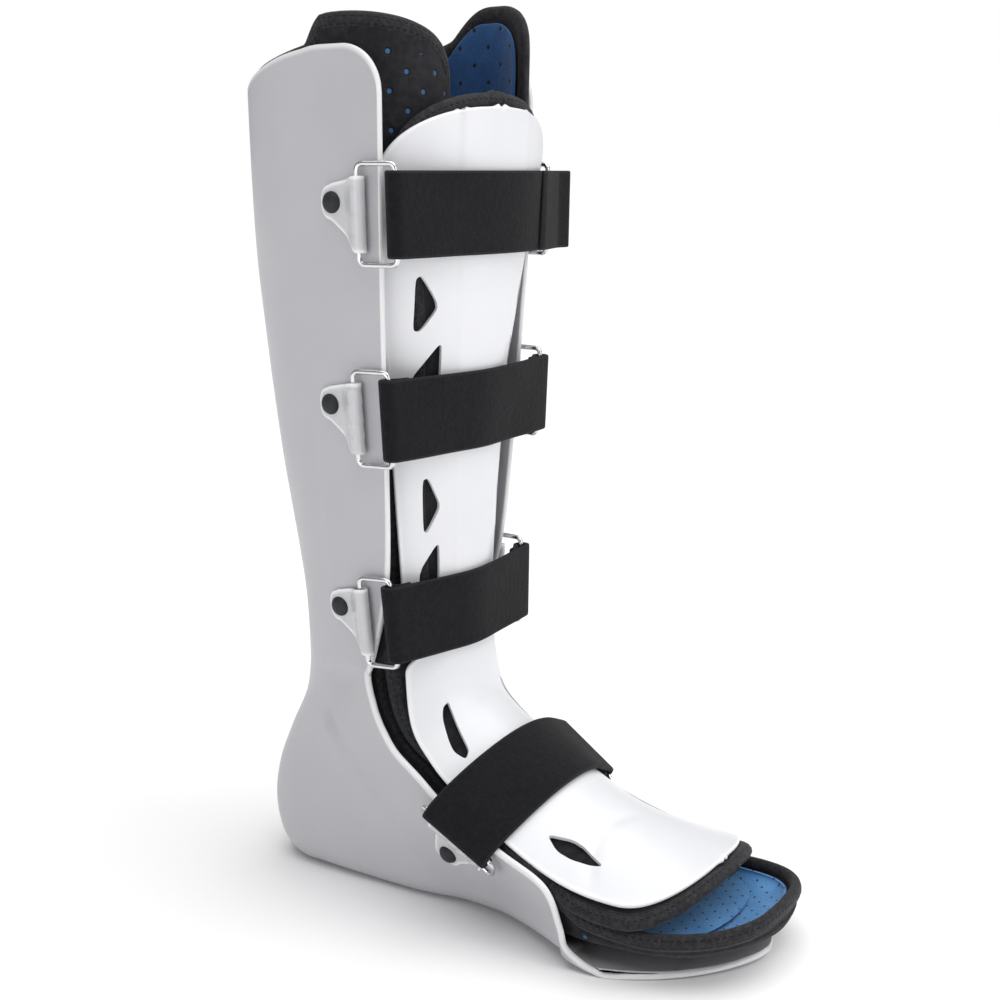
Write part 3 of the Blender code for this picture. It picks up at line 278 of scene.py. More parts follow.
def connect(shader, name, wire):
    wire.tree.links.new(wire.socket, shader.inputs[name])


def object_place(start):
    return start.node("TexCoord", out=3)


def plastic(name, color, rim_highlight_color, roughness, scuff=0.10, coat=0.0):
    """Satin moulded plastic: clouded roughness, a fine peel, and a smoother rim with a painted highlight."""
    made, shader, start = new_finish(name)
    place = object_place(start)
    cloud = noise(start, place, 18.0, 3.0)
    fine = noise(start, place, PEEL_SIZE, 1.0)
    _, rim = map_axes(start, "rim")
    # edge marks the rim: it is a little smoother, and its colour is a painted highlight
    edge = rim.step(RIM_HIGHLIGHT_AND_POLISH, 0.0)
    tone = cloud.step(0.25, 0.75).blend(color, tuple(0.955 * part for part in color[:3]) + (1,))
    connect(shader, "Base Color", edge.blend(tone, rim_highlight_color))
    connect(shader, "Roughness", roughness + scuff * (cloud - 0.5) - 0.08 * edge)
    bump = start.node("Bump", {}, {"Strength": 0.6, "Distance": PEEL_DEPTH, "Height": fine})
    connect(shader, "Normal", bump)
    shader.inputs["Coat Weight"].default_value = coat
    shader.inputs["Coat Roughness"].default_value = 0.25
    shader.inputs["Subsurface Weight"].default_value = 0.06
    shader.inputs["Subsurface Scale"].default_value = 0.004
    return made


# The second colour of each finish is its rim's painted highlight.
SHELL_PLASTIC = plastic("Moulded grey plastic", (0.475, 0.47, 0.495, 1), (0.74, 0.74, 0.75, 1), 0.38)
PLATE_PLASTIC = plastic("Plate plastic", (0.765, 0.77, 0.795, 1), (0.84, 0.84, 0.86, 1), 0.34, 0.06, 0.15)
TAB_PLASTIC = plastic("Tab plastic", (0.56, 0.56, 0.58, 1), (0.80, 0.80, 0.81, 1), 0.28, 0.08, 0.2)

# %% [markdown]
# ## The black cloths
#
# The liner is foam between two cloths, and its black face is a fine knit, punched with holes that show the
# blue behind. The holes are round and cut, so they are drawn from the cloth's own map, in metres, and they
# keep their size wherever the cloth bends. The binding is a smoother tape with a row of stitches, which
# runs along the rim, so its stitches are drawn from a map along the tape.

# %% Black knit with punched holes
HOLE_PITCH = 0.0165
HOLE_RADIUS = 0.0011
HOLE_MARGIN = 0.0115  # no holes this near to a rim
KNIT_PITCH = 0.0011
BLACK_LOW = (0.008, 0.008, 0.010, 1)
BLACK_HIGH = (0.020, 0.020, 0.024, 1)
HOLE_BLUE = (0.045, 0.120, 0.260, 1)


def knit_height(u, v, pitch):
    """A knit's little loops: the product of two waves, one turned by 45 degrees."""
    turns = 2 * pi / pitch
    return ((u + v) * turns).wave() * ((u - v) * turns).wave()


def cloth_shader(shader, roughness, sheen):
    shader.inputs["Roughness"].default_value = roughness
    shader.inputs["Sheen Weight"].default_value = sheen
    shader.inputs["Sheen Roughness"].default_value = 0.5
    shader.inputs["Specular IOR Level"].default_value = 0.25


def black_knit(name, holes=True):
    made, shader, start = new_finish(name)
    u, v = map_axes(start, "weave")
    _, rim = map_axes(start, "rim")
    mottle = noise(start, object_place(start), 260.0, 4.0)
    height = knit_height(u, v, KNIT_PITCH) * 0.5 + mottle
    color = mottle.step(0.30, 0.75).blend(BLACK_LOW, BLACK_HIGH)
    if holes:
        inside = rim.step(HOLE_MARGIN - 0.001, HOLE_MARGIN)
        ring = dots(u, v, HOLE_PITCH, HOLE_RADIUS * 1.6) * inside
        hole = dots(u, v, HOLE_PITCH, HOLE_RADIUS) * inside
        color = ring.blend(color, (0.005, 0.005, 0.006, 1))
        color = hole.blend(color, HOLE_BLUE)
        height = height - 4.0 * ring
    connect(shader, "Base Color", color)
    bump = start.node("Bump", {}, {"Strength": 0.7, "Distance": 0.00025, "Height": height})
    connect(shader, "Normal", bump)
    cloth_shader(shader, 0.88, 0.07)
    return made


BLACK_CLOTH = black_knit("Black perforated cloth")
PAD_CLOTH = black_knit("Black pad cloth", holes=False)

# %% Black binding tape
STITCH_PITCH = 0.0032
STITCH_HALF = 0.00035
STITCH_ROWS = (0.0016, -0.0016)  # across the tape, from its middle


def binding_tape(name):
    """Twilled tape: slanting ribs across it, and two rows of small sunk stitches along it."""
    made, shader, start = new_finish(name)
    along, across = map_axes(start, "weave")
    mottle = noise(start, object_place(start), 500.0, 3.0)
    ribs = ((along + 0.6 * across) * (2 * pi / 0.0009)).wave()
    stitch = None
    for row in STITCH_ROWS:
        beside = across - row
        near = (beside * beside).root().step(STITCH_HALF * 1.6, STITCH_HALF * 0.7)
        gap = from_middle(along, STITCH_PITCH)
        dash = (gap * gap).root().step(STITCH_PITCH * 0.34, STITCH_PITCH * 0.24)
        found = near * dash
        stitch = found if stitch is None else stitch + found
    color = mottle.step(0.3, 0.8).blend(BLACK_LOW, (0.030, 0.030, 0.034, 1))
    connect(shader, "Base Color", stitch.blend(color, (0.004, 0.004, 0.005, 1)))
    height = 0.35 * ribs + mottle - 2.5 * stitch
    bump = start.node("Bump", {}, {"Strength": 0.8, "Distance": 0.00022, "Height": height})
    connect(shader, "Normal", bump)
    cloth_shader(shader, 0.72, 0.08)
    return made


BINDING_TAPE = binding_tape("Black binding tape")

# %% [markdown]
# ## The blue lining and footbed
#
# Inside, the boot is lined with brushed blue cloth, and its holes go through to the dark foam. The footbed
# wears the same cloth with smaller and closer holes. Brushed pile is uneven at every scale, so two noises,
# one coarse and one fine, move its colour and its bump together.

# %% Brushed blue cloths
FOOTBED_PITCH = 0.0085
FOOTBED_RADIUS = 0.00060
TOE_LEVEL = 0.030
LEG_BLUES = ((0.012, 0.060, 0.185, 1), (0.026, 0.100, 0.270, 1))
FOOT_BLUES = ((0.050, 0.190, 0.430, 1), (0.095, 0.280, 0.560, 1))


def place_axes(start):
    """The three object coordinates as wires."""
    place = object_place(start)
    return [start.node("SeparateXYZ", {}, {0: place}, out=axis) for axis in range(3)]


def brushed_blue(name, pitch, radius):
    """Above the footbed's level the holes are the lining's own, from its map. Below it they are the
    footbed's, drawn from above, so that footbed and toe read as one cloth."""
    made, shader, start = new_finish(name)
    u, v = map_axes(start, "weave")
    x, y, z = place_axes(start)
    place = object_place(start)
    coarse = noise(start, place, 60.0, 3.0)
    pile = noise(start, place, 900.0, 4.0)
    low_down = z.step(TOE_LEVEL + 0.004, TOE_LEVEL)
    side = dots(u, v, pitch, radius) * (1 - low_down)
    hole = side + dots(x, y, FOOTBED_PITCH, FOOTBED_RADIUS) * low_down
    tone = (0.6 * coarse + 0.4 * pile).step(0.32, 0.68)
    color = low_down.blend(tone.blend(*LEG_BLUES), tone.blend(*FOOT_BLUES))
    connect(shader, "Base Color", hole.blend(color, (0.006, 0.010, 0.020, 1)))
    height = pile + 0.4 * coarse - 3.0 * hole
    bump = start.node("Bump", {}, {"Strength": 0.8, "Distance": 0.0003, "Height": height})
    connect(shader, "Normal", bump)
    cloth_shader(shader, 0.95, 0.25)
    return made


LINING_BLUE = brushed_blue("Blue lining", HOLE_PITCH, HOLE_RADIUS)
FOOTBED_BLUE = brushed_blue("Blue footbed", HOLE_PITCH, HOLE_RADIUS)

# %% [markdown]
# ## Strap cloth, wire and rivets
#
# The straps are loop cloth: a mat of tiny tangled loops that looks black and slightly furry, with a woven
# selvedge down each edge. The rings are plated wire, and the rivets are black heads with a cast grain.

# %% Strap cloth, wire and rivets
SELVEDGE = 0.0012  # width of a strap's woven edge


def loop_cloth(name):
    """Tangled loops: noise of three sizes. The map across the strap gives the selvedges."""
    made, shader, start = new_finish(name)
    along, across = map_axes(start, "weave")
    place = object_place(start)
    tuft = noise(start, place, 420.0, 4.0)
    patch = noise(start, place, 90.0, 3.0)
    fibre = noise(start, place, 1600.0, 3.0)
    edge = (across * across).root().step(STRAP_WIDTH / 2 - SELVEDGE, STRAP_WIDTH / 2 - 0.6 * SELVEDGE)
    rib = (along * (2 * pi / 0.0008)).wave()
    tone = (0.35 * tuft + 0.15 * patch + 0.50 * fibre).step(0.36, 0.66)
    color = tone.blend((0.0030, 0.0030, 0.0040, 1), (0.0085, 0.0085, 0.0105, 1))
    connect(shader, "Base Color", edge.blend(color, (0.013, 0.013, 0.016, 1)))
    height = (tuft + 0.6 * fibre) * (1 - edge) + 0.3 * rib * edge
    bump = start.node("Bump", {}, {"Strength": 0.9, "Distance": 0.0005, "Height": height})
    connect(shader, "Normal", bump)
    cloth_shader(shader, 0.95, 0.05)
    return made


def plated_wire(name):
    """Bright plating with faint draw marks along the wire."""
    made, shader, start = new_finish(name)
    place = object_place(start)
    cloud = noise(start, place, 140.0, 2.0)
    connect(shader, "Roughness", 0.10 + 0.16 * cloud)
    connect(shader, "Base Color", cloud.blend((0.78, 0.78, 0.79, 1), (0.62, 0.62, 0.64, 1)))
    shader.inputs["Metallic"].default_value = 1.0
    return made


def rivet_black(name):
    made, shader, start = new_finish(name)
    grain = noise(start, object_place(start), 2200.0, 2.0)
    connect(shader, "Base Color", grain.blend((0.010, 0.011, 0.012, 1), (0.030, 0.032, 0.034, 1)))
    connect(shader, "Roughness", 0.42 + 0.25 * grain)
    shader.inputs["Specular IOR Level"].default_value = 0.3
    bump = start.node("Bump", {}, {"Strength": 0.7, "Distance": 0.00012, "Height": grain})
    connect(shader, "Normal", bump)
    return made


STRAP_WIDTH = 0.037
STRAP_CLOTH = loop_cloth("Black loop cloth")
RING_WIRE_FINISH = plated_wire("Plated wire")
RIVET_FINISH = rivet_black("Black rivet head")
print("finishes", sorted(m.name for m in bpy.data.materials if m.users == 0))

# %% [markdown]
# ## Sizes
#
# The same sizes as the CAD model's, so that each finer surface lies on its CAD piece. A section is a row of
# a short table, and its lengths are shares of the sizes below.

# %% Sizes
ANKLE_HEIGHT = 0.122  # floor to the level section at the ankle
LEG_RISE = 0.260  # ankle section to the rear edge of the shell
HEEL_REACH = 0.137  # origin to the back of the heel
TOE_REACH = 0.131  # origin to the toe of the sole
CALF_HALF = 0.062  # half the width of the shell at its top
SOLE_HALF = 0.051  # half the width of the sole at the ball of the foot
TOE_SWAY = 0.012  # how far the toe swings to the inner side of the foot
TOE_LIFT = 0.004  # how far the toe of the sole rises off the floor
BALL_REACH = 0.062  # origin to the widest part of the sole
BEND_START = 0.040  # origin to where the toe begins to swing and to rise
SHELL_WALL = 0.003
PAD_WALL = 0.004
LINING_WALL = 0.0013
LINER_ROOM = 0.0010  # air between the shell and the liner
LINING_ROOM = 0.0018  # air between the liner and its lining
INSOLE_ROOM = 0.0021  # air round the footbed
PLATE_WALL = 0.0025
GAP = 0.0004
INSOLE_TOP = 0.0185  # floor to the top of the footbed
EAR_RISE = 0.021  # the sides of the shell above its rear edge
EAR_ROUND = 0.020  # radius of the front corner of each side
SPINE_PROUD = 0.006  # the ridge down the back of the calf
SPINE_HALF = 0.020
TURN_SHARE = 0.60  # share of the columns that go round the back of a section
SOLE_FLAT = 0.0016  # how much of the sole's rounding is pressed flat where it stands on the floor
SOLE_FADE = 0.010  # height at which that pressing ends

# %% Sections of the shell
# Rows run from the top down to the ankle, then round the heel and along the sole. The shares are of
# LEG_RISE, HEEL_REACH behind the origin or TOE_REACH before it, ANKLE_HEIGHT, and the half widths.
LEG_ROWS = (
    # rise, rear, front, base, edge, round
    (1.20, 0.985, 0.214, 1.01, 1.010, 0.60),
    (0.80, 0.975, 0.225, 0.975, 0.985, 0.60),
    (0.60, 0.945, 0.240, 0.93, 0.940, 0.60),
    (0.38, 0.895, 0.258, 0.87, 0.870, 0.61),
    (0.20, 0.840, 0.281, 0.80, 0.810, 0.62),
    (0.10, 0.815, 0.321, 0.75, 0.770, 0.63),
    (0.00, 0.805, 0.385, 0.71, 0.735, 0.64),
)
FOOT_ROWS = (
    # rear_y, rear_z, front_y, front_z, base, edge, round
    (0.820, 0.87, 0.402, 0.970, 0.800, 0.885, 0.62),
    (0.850, 0.74, 0.405, 0.950, 0.745, 0.885, 0.58),
    (0.925, 0.57, 0.403, 0.925, 0.700, 0.885, 0.52),
    (0.985, 0.38, 0.398, 0.900, 0.665, 0.885, 0.44),
    (0.995, 0.19, 0.393, 0.878, 0.645, 0.885, 0.36),
    (0.950, 0.05, 0.387, 0.857, 0.635, 0.885, 0.30),
    (0.860, 0.00, 0.381, 0.835, 0.630, 0.885, 0.24),
    (0.740, 0.00, 0.371, 0.800, 0.620, 0.885, 0.20),
    (0.560, 0.00, 0.345, 0.745, 0.600, 0.890, 0.18),
    (0.380, 0.00, 0.290, 0.665, 0.575, 0.900, 0.18),
    (0.220, 0.00, 0.190, 0.585, 0.550, 0.910, 0.20),
    (0.090, 0.00, 0.080, 0.500, 0.535, 0.935, 0.24),
    (-0.060, 0.00, -0.060, 0.430, 0.570, 0.970, 0.28),
    (-0.200, 0.00, -0.200, 0.375, 0.690, 1.000, 0.32),
    (-0.310, 0.00, -0.325, 0.325, 0.830, 1.010, 0.38),
    (-0.375, 0.00, -0.380, 0.270, 0.920, 1.015, 0.44),
    (-0.415, 0.00, -0.415, 0.165, 0.965, 1.010, 0.58),
    (-0.445, 0.00, -0.445, 0.080, 0.990, 1.005, 0.72),
)
SOLE_LIP = 0.020  # share of ANKLE_HEIGHT that the sole's edge turns up in front of the walls
SOLE_POINT = 1.7  # exponent of the sole's toe outline
TRAY_POINT = 2.8  # exponent of the toe tray's outline
TOE_ROWS = 7

# %% Sizes of the liner
WING_RISE = 0.034  # top of the outer wing above the rear edge of the shell
WING_RISE_FAR = 0.045
LINER_REAR_RISE = 0.010
WRAP_SETBACK = 0.020  # the liner begins to turn in behind the plate this far behind the shell's edge
WRAP_REACH = 0.022  # length of that turned part
WRAP_CURL = 0.015  # radius of the turn
FOLD_SETBACK = 0.007  # the same three beside the instep
FOLD_REACH = 0.013
FOLD_CURL = 0.009
WING_SETBACK = 0.034  # the same three for the outer wing at the top
WING_MIDDLE_REACH = 0.050
WING_REACH = 0.068
WING_CURL = 0.036
WING_REACH_FAR = 0.026  # and for the inner wing, which hardly turns
WING_CURL_FAR = 0.040
LINER_TOE = 0.138  # origin to the toe of the liner
LINER_HALF = 0.050  # half the width of the toe tray
TRAY_HEIGHT = 0.023  # rim of the toe tray
TRAY_FLOOR = 0.006  # underside of the toe tray
LINER_PAST = 0.001  # how far the liner's edge stands past the shell's along the leg and foot
LINING_SETBACK = 0.007  # the lining stops this far from the liner's rim
LINER_BALL_ROWS = (
    # ahead, floor, rim, base, edge, round
    (0.80, 0.00, 1.50, 0.84, 0.93, 0.42),
    (0.95, 0.10, 1.30, 0.90, 0.97, 0.52),
    (1.12, 0.55, 1.12, 0.95, 1.00, 0.66),
)
DENSE = 700  # samples of each smooth line

# %% [markdown]
# ## A trough from a table of sections
#
# Shell, liner and lining are one form at three depths: a trough that stands up the back of the leg, turns
# under the heel and runs out to the toe. A sculpted mesh would fit once; a smooth curve through the rows of
# a table gives the same form at any fineness, and a surface further in is the same table moved inwards.

# %% Curves through a table


def smooth_table(rows):
    """A smooth curve through the rows: Catmull-Rom on every column, DENSE samples from first to last."""
    table = np.array(rows, float)
    padded = np.vstack((2 * table[0] - table[1], table, 2 * table[-1] - table[-2]))
    place = np.linspace(0, len(table) - 1 - 1e-9, DENSE)
    index = place.astype(int)
    share = (place - index)[:, None]
    before, start, end, after = (padded[index + k] for k in range(4))
    return 0.5 * (
        2 * start
        + (end - before) * share
        + (2 * before - 5 * start + 4 * end - after) * share**2
        + (3 * start - before - 3 * end + after) * share**3
    )


def reach(share):
    """A share of HEEL_REACH behind the origin, of TOE_REACH before it."""
    return share * (HEEL_REACH if share > 0 else TOE_REACH)


def roundness(share):
    """Exponent of a section's rounded back: a little squarer where the section is a foot's."""
    return 2.2 + 2.0 * np.clip(0.60 - share, 0, 0.40)


def toe_rows(ball, tip, half, point, floor, rim, tip_floor):
    """Upright sections whose widths follow a superellipse from the ball of the foot to the tip."""
    rows = []
    for step in range(1, TOE_ROWS + 1):
        angle = 0.5 * pi * step / TOE_ROWS
        y = -(ball + (tip - ball) * sin(angle) ** (2 / point))
        width = half * max(cos(angle), 0) ** (2 / point) if step < TOE_ROWS else 0
        bottom = floor + (tip_floor - floor) * (1 - cos(angle))
        rows.append((y, bottom, y, rim, width, width, 0.85, 2.2))
    return rows


def shell_rows():
    """Rear y and z, front y and z, base and edge half widths, rounded share and exponent, in metres."""
    rows = [
        (
            rear * HEEL_REACH,
            ANKLE_HEIGHT + rise * LEG_RISE,
            front * HEEL_REACH,
            ANKLE_HEIGHT + rise * LEG_RISE,
            base * CALF_HALF,
            edge * CALF_HALF,
            share,
            roundness(share),
        )
        for rise, rear, front, base, edge, share in LEG_ROWS
    ]
    rows += [
        (
            reach(rear_y),
            rear_z * ANKLE_HEIGHT,
            reach(front_y),
            front_z * ANKLE_HEIGHT,
            base * SOLE_HALF,
            edge * SOLE_HALF,
            share,
            roundness(share),
        )
        for rear_y, rear_z, front_y, front_z, base, edge, share in FOOT_ROWS
    ]
    lip = SOLE_LIP * ANKLE_HEIGHT
    return rows + toe_rows(BALL_REACH, TOE_REACH, SOLE_HALF, SOLE_POINT, 0, lip, 0)


def unit_steps(pair):
    """Unit steps along a line given as two columns."""
    step = np.gradient(pair, axis=0)
    return step / np.maximum(np.linalg.norm(step, axis=1), 1e-9)[:, None]


def inset_line(table, inset):
    """The same sections for a surface this far inside. The rear line moves along its own normal, and
    past the ball of the foot the outline seen from above does too."""
    moved = table.copy()
    rear = unit_steps(table[:, :2])
    plan = unit_steps(table[:, (5, 2)])
    toe = table[:, 2] < -BALL_REACH
    moved[:, 0] += inset * np.where(toe, -plan[:, 0], rear[:, 1])
    moved[:, 1] -= inset * rear[:, 0]
    moved[:, 2] += inset * np.where(toe, -plan[:, 0], 0)
    depth = np.linalg.norm(table[:, 2:4] - table[:, :2], axis=1)
    flare = (table[:, 5] - table[:, 4]) / np.maximum(depth * (1 - table[:, 6]), 1e-3)
    narrower = inset * np.where(toe, -plan[:, 1], np.sqrt(1 + flare**2))
    new_depth = np.maximum(np.linalg.norm(moved[:, 2:4] - moved[:, :2], axis=1), 1e-6)
    moved[:, 4] = np.maximum(table[:, 4] - narrower, 0)
    moved[:, 5] = np.maximum(table[:, 5] - narrower, 0)
    moved[:, 6] = np.clip((table[:, 6] * depth - inset) / new_depth, 0.05, 0.95)
    return moved


def liner_table():
    """The liner's own sections: inside the shell down to the walls' end, then its toe tray. It has a
    section for each of the shell's, so that the two surfaces run side by side."""
    own = 3 + TOE_ROWS
    count = len(SHELL_ROWS)
    inside = inset_line(SHELL_TABLE, SHELL_WALL + LINER_ROOM)
    rows = [tuple(row) for row in inside[np.linspace(0, DENSE - 1, count).astype(int)[: count - own]]]
    seat = SHELL_WALL + LINER_ROOM
    for ahead, floor, rim, base, edge, share in LINER_BALL_ROWS:
        y = -ahead * BALL_REACH
        bottom = seat + floor * (TRAY_FLOOR - seat)
        rows.append((y, bottom, y, rim * TRAY_HEIGHT, base * LINER_HALF, edge * LINER_HALF, share, 2.2))
    ball = LINER_BALL_ROWS[-1][0] * BALL_REACH
    tip_floor = 0.5 * (TRAY_FLOOR + TRAY_HEIGHT)
    rows += toe_rows(ball, LINER_TOE, LINER_HALF, TRAY_POINT, TRAY_FLOOR, TRAY_HEIGHT, tip_floor)
    return smooth_table(rows)

# %% The trough's surface


def wall_points(table, place, around, past=0.0, setback=0.0, curl=WING_CURL):
    """Points of a trough: place 0 at the first section and 1 at the last, around -1 to 1 from one front
    edge to the other. past is metres that the wall goes on beyond its front edge, turning in, while
    around goes on to 1.5, or metres that it stops short. setback is where it begins to turn in."""
    samples = np.linspace(0, 1, len(table))
    rear_y, rear_z, front_y, front_z, base, edge, share, exponent = (
        np.interp(place, samples, column) for column in table.T
    )
    side = np.sign(around)
    way = np.abs(around)
    depth = np.hypot(front_y - rear_y, front_z - rear_z)
    turn = np.clip(way / TURN_SHARE, 0, 1) * pi / 2
    power = 2 / exponent
    back = share * depth * (1 - np.maximum(np.cos(turn), 0) ** power)
    wide = base * np.maximum(np.sin(turn), 0) ** power
    wall = np.clip((way - TURN_SHARE) / (1 - TURN_SHARE), 0, 1)
    length = depth * (1 - share)
    reached = wall * np.maximum(length - setback + np.minimum(past, 0), 0.1 * length)
    back = back + reached
    wide = wide + (edge - base) * (reached / np.maximum(length, 1e-9)) ** 1.4
    arc = np.clip((way - 1) / 0.5, 0, 1) * np.maximum(past, 0)
    back = back + curl * np.sin(arc / curl)
    wide = wide - curl * (1 - np.cos(arc / curl))
    unit_y = (front_y - rear_y) / np.maximum(depth, 1e-9)
    unit_z = (front_z - rear_z) / np.maximum(depth, 1e-9)
    return np.stack((side * wide, rear_y + unit_y * back, rear_z + unit_z * back), axis=-1)


def toe_bend(points):
    """Swings the toe to the inner side and lifts it, growing from BEND_START to the tip."""
    moved = points.copy()
    share = np.clip((-points[..., 1] - BEND_START) / (LINER_TOE - BEND_START), 0, 1.1)
    moved[..., 0] += TOE_SWAY * share**1.5
    moved[..., 2] += TOE_LIFT * np.clip((share - 0.45) / 0.55, 0, 1.1) ** 2
    return moved


def swell(share):
    """0 below 0, 1 above 1, smooth between."""
    share = np.clip(share, 0, 1)
    return share * share * (3 - 2 * share)


def leg_place(table, heights):
    """The place in the table of level sections at these heights above the ankle."""
    level = table[:, 1] >= ANKLE_HEIGHT
    samples = np.linspace(0, 1, len(table))[level]
    return np.interp(-heights, -table[level, 1], samples)


SHELL_ROWS = shell_rows()
SHELL_TABLE = smooth_table(SHELL_ROWS)
LINER_TABLE = liner_table()
TOP = ANKLE_HEIGHT + LEG_RISE
FRONT_DEPTH = (LEG_ROWS[0][1] - LEG_ROWS[0][2]) * HEEL_REACH * (1 - LEG_ROWS[0][5]) / (1 - TURN_SHARE)
print("trough from", round(TOP, 3), "m down to the toe at", -LINER_TOE, "m")


def trough_places(table, around, leg_rows, foot_rows, tops):
    """Places for a grid: leg rows spread from the top edge of each column to the ankle, then foot rows."""
    ankle_place = leg_place(table, np.array([ANKLE_HEIGHT]))[0]
    share = np.linspace(0, 1, leg_rows)[:, None]
    heights = tops[None, :] + (ANKLE_HEIGHT - tops[None, :]) * share
    upper = leg_place(table, heights)
    lower = np.linspace(ankle_place, 1, foot_rows + 1)[1:, None] + np.zeros((1, len(around)))
    return np.vstack((upper, lower))

# %% [markdown]
# ## From a grid to a piece
#
# A moulding or a pad is a sheet with a thickness and a rounded rim. Solidify and Bevel could make one, but
# a bevel shrinks to the smallest face beside it. So the rim is worked out here: the outer grid, the inner
# grid, and between their outlines a row of arcs that bulges outwards. Each point carries two maps, in
# metres: "weave" follows the cloth, and "rim" holds the way along the edge and the distance from it.

# %% Grid tools
RIM_STEPS = 6  # rows of faces round a rim
BODY = "root"


def grid_faces(rows, columns):
    """Quads of a grid whose points run row by row."""
    first = (np.arange(rows - 1)[:, None] * columns + np.arange(columns - 1)).reshape(-1)
    return np.stack((first, first + 1, first + columns + 1, first + columns), axis=1)


def unit(vectors):
    return vectors / np.maximum(np.linalg.norm(vectors, axis=-1, keepdims=True), 1e-12)


def grid_normals(points, seam):
    """Normals of a grid: the cross product of its two slopes. On a seam the two halves share theirs."""
    normal = unit(np.cross(np.gradient(points, axis=1), np.gradient(points, axis=0)))
    if seam:
        normal[-1] = unit(normal[-2] + normal[-2, ::-1])
    return normal


def step_lengths(points, axis):
    """Metres from the first row or column, along the grid."""
    steps = np.linalg.norm(np.diff(points, axis=axis), axis=-1)
    return np.insert(np.cumsum(steps, axis=axis), 0, 0, axis=axis)


def weave_map(points):
    """Metres across from the middle column, and metres down from the level of the first row's ends."""
    across = step_lengths(points, 1)
    across = across - across[:, points.shape[1] // 2][:, None]
    return np.stack((across, step_lengths(points, 0)), axis=-1)


def rim_map(points, seam):
    """The way along the nearest edge, and the distance from it."""
    across, down = step_lengths(points, 1), step_lengths(points, 0)
    from_side = np.minimum(across, across[:, -1:] - across)
    from_top = down if seam else np.minimum(down, down[-1:] - down)
    along = np.where(from_side < from_top, down, across)
    return np.stack((along, np.minimum(from_side, from_top)), axis=-1)


def outline(rows, columns, seam):
    """Indices of the points round a grid. A seam closes the last row on itself."""
    index = np.arange(rows * columns).reshape(rows, columns)
    last = index[-1:, -1] if seam else index[-1, ::-1]
    return np.concatenate((index[0, :-1], index[:-1, -1], last, index[-2:0:-1, 0]))


def build_mesh(name, points, faces, maps, merge=2e-6):
    """A mesh of these faces. Each map gives a pair of numbers for every point."""
    mesh = bpy.data.meshes.new(name)
    mesh.from_pydata(points.tolist(), [], faces.tolist())
    for label, values in maps.items():
        layer = mesh.uv_layers.new(name=label)
        layer.data.foreach_set("uv", np.ascontiguousarray(values[faces.reshape(-1)], np.float32).reshape(-1))
    work = bmesh.new()
    work.from_mesh(mesh)
    bmesh.ops.remove_doubles(work, verts=work.verts, dist=merge)
    bmesh.ops.dissolve_degenerate(work, edges=work.edges, dist=merge)
    bmesh.ops.recalc_face_normals(work, faces=work.faces)
    work.to_mesh(mesh)
    work.free()
    mesh.shade_smooth()
    return mesh


def add_piece(name, mesh, finish, slot, *nodes):
    """Puts a mesh in the scene as a piece that stands for these CAD nodes."""
    mesh.materials.append(finish)
    made = bpy.data.objects.new(name, mesh)
    bpy.context.scene.collection.objects.link(made)
    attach(made, BODY)
    if nodes:
        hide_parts(*nodes)
    return made


def rim_frames(points, normal, seam):
    """Round the outline: the points, the normals, and the way out of the surface across its edge."""
    loop = outline(*points.shape[:2], seam)
    inner = np.empty_like(points)
    inner[1:-1] = points[1:-1]
    inner[0], inner[-1] = points[1], points[-1 if seam else -2]
    inner[:, 0], inner[:, -1] = points[:, 1], points[:, -2]
    edge, facing = points.reshape(-1, 3)[loop], normal.reshape(-1, 3)[loop]
    along = np.roll(edge, -1, axis=0) - np.roll(edge, 1, axis=0)
    outward = np.cross(along, facing)
    inside = inner.reshape(-1, 3)[loop]
    wrong = np.sum(outward * (edge - inside), axis=1) < 0
    outward[wrong] *= -1
    for _ in range(4):
        outward = unit(outward)
        outward = outward + 0.5 * (np.roll(outward, 1, axis=0) + np.roll(outward, -1, axis=0))
    return loop, edge, facing, unit(outward)


def slab(points, wall, bulge, seam=False, inner=None, weave=None):
    """A closed sheet: the grid, the same grid a wall further in, and arcs round the rim between them.
    An arc's point is the middle of the wall, plus half the wall along the normal times the cosine, plus
    the bulge outwards times the sine."""
    rows, columns = points.shape[:2]
    normal = grid_normals(points, seam)
    if inner is None:
        inner = points - normal * np.reshape(wall, np.shape(wall) + (1,) * (3 - np.ndim(wall)))
    loop, edge, _, outward = rim_frames(points, normal, seam)
    other = inner.reshape(-1, 3)[loop]
    middle, half = (edge + other) / 2, (edge - other) / 2
    angle = np.linspace(0, pi, RIM_STEPS + 1)[1:-1, None, None]
    arcs = middle + half * np.cos(angle) + outward * bulge * np.sin(angle)
    count, size = rows * columns, len(loop)
    face = grid_faces(rows, columns)
    rings = np.vstack((loop, 2 * count + np.arange((RIM_STEPS - 1) * size).reshape(-1, size), loop + count))
    after = np.roll(rings, -1, axis=1)
    rim = np.stack((rings[:-1], after[:-1], after[1:], rings[1:]), axis=-1).reshape(-1, 4)
    faces = np.vstack((face, face[:, ::-1] + count, rim))
    if weave is None:
        weave = weave_map(points)
    maps = {}
    for label, values in (("weave", weave), ("rim", rim_map(points, seam))):
        flat = values.reshape(-1, 2)
        maps[label] = np.vstack((flat, flat, np.tile(flat[loop], (RIM_STEPS - 1, 1))))
    every = np.vstack((points.reshape(-1, 3), inner.reshape(-1, 3), arcs.reshape(-1, 3)))
    return every, faces, maps


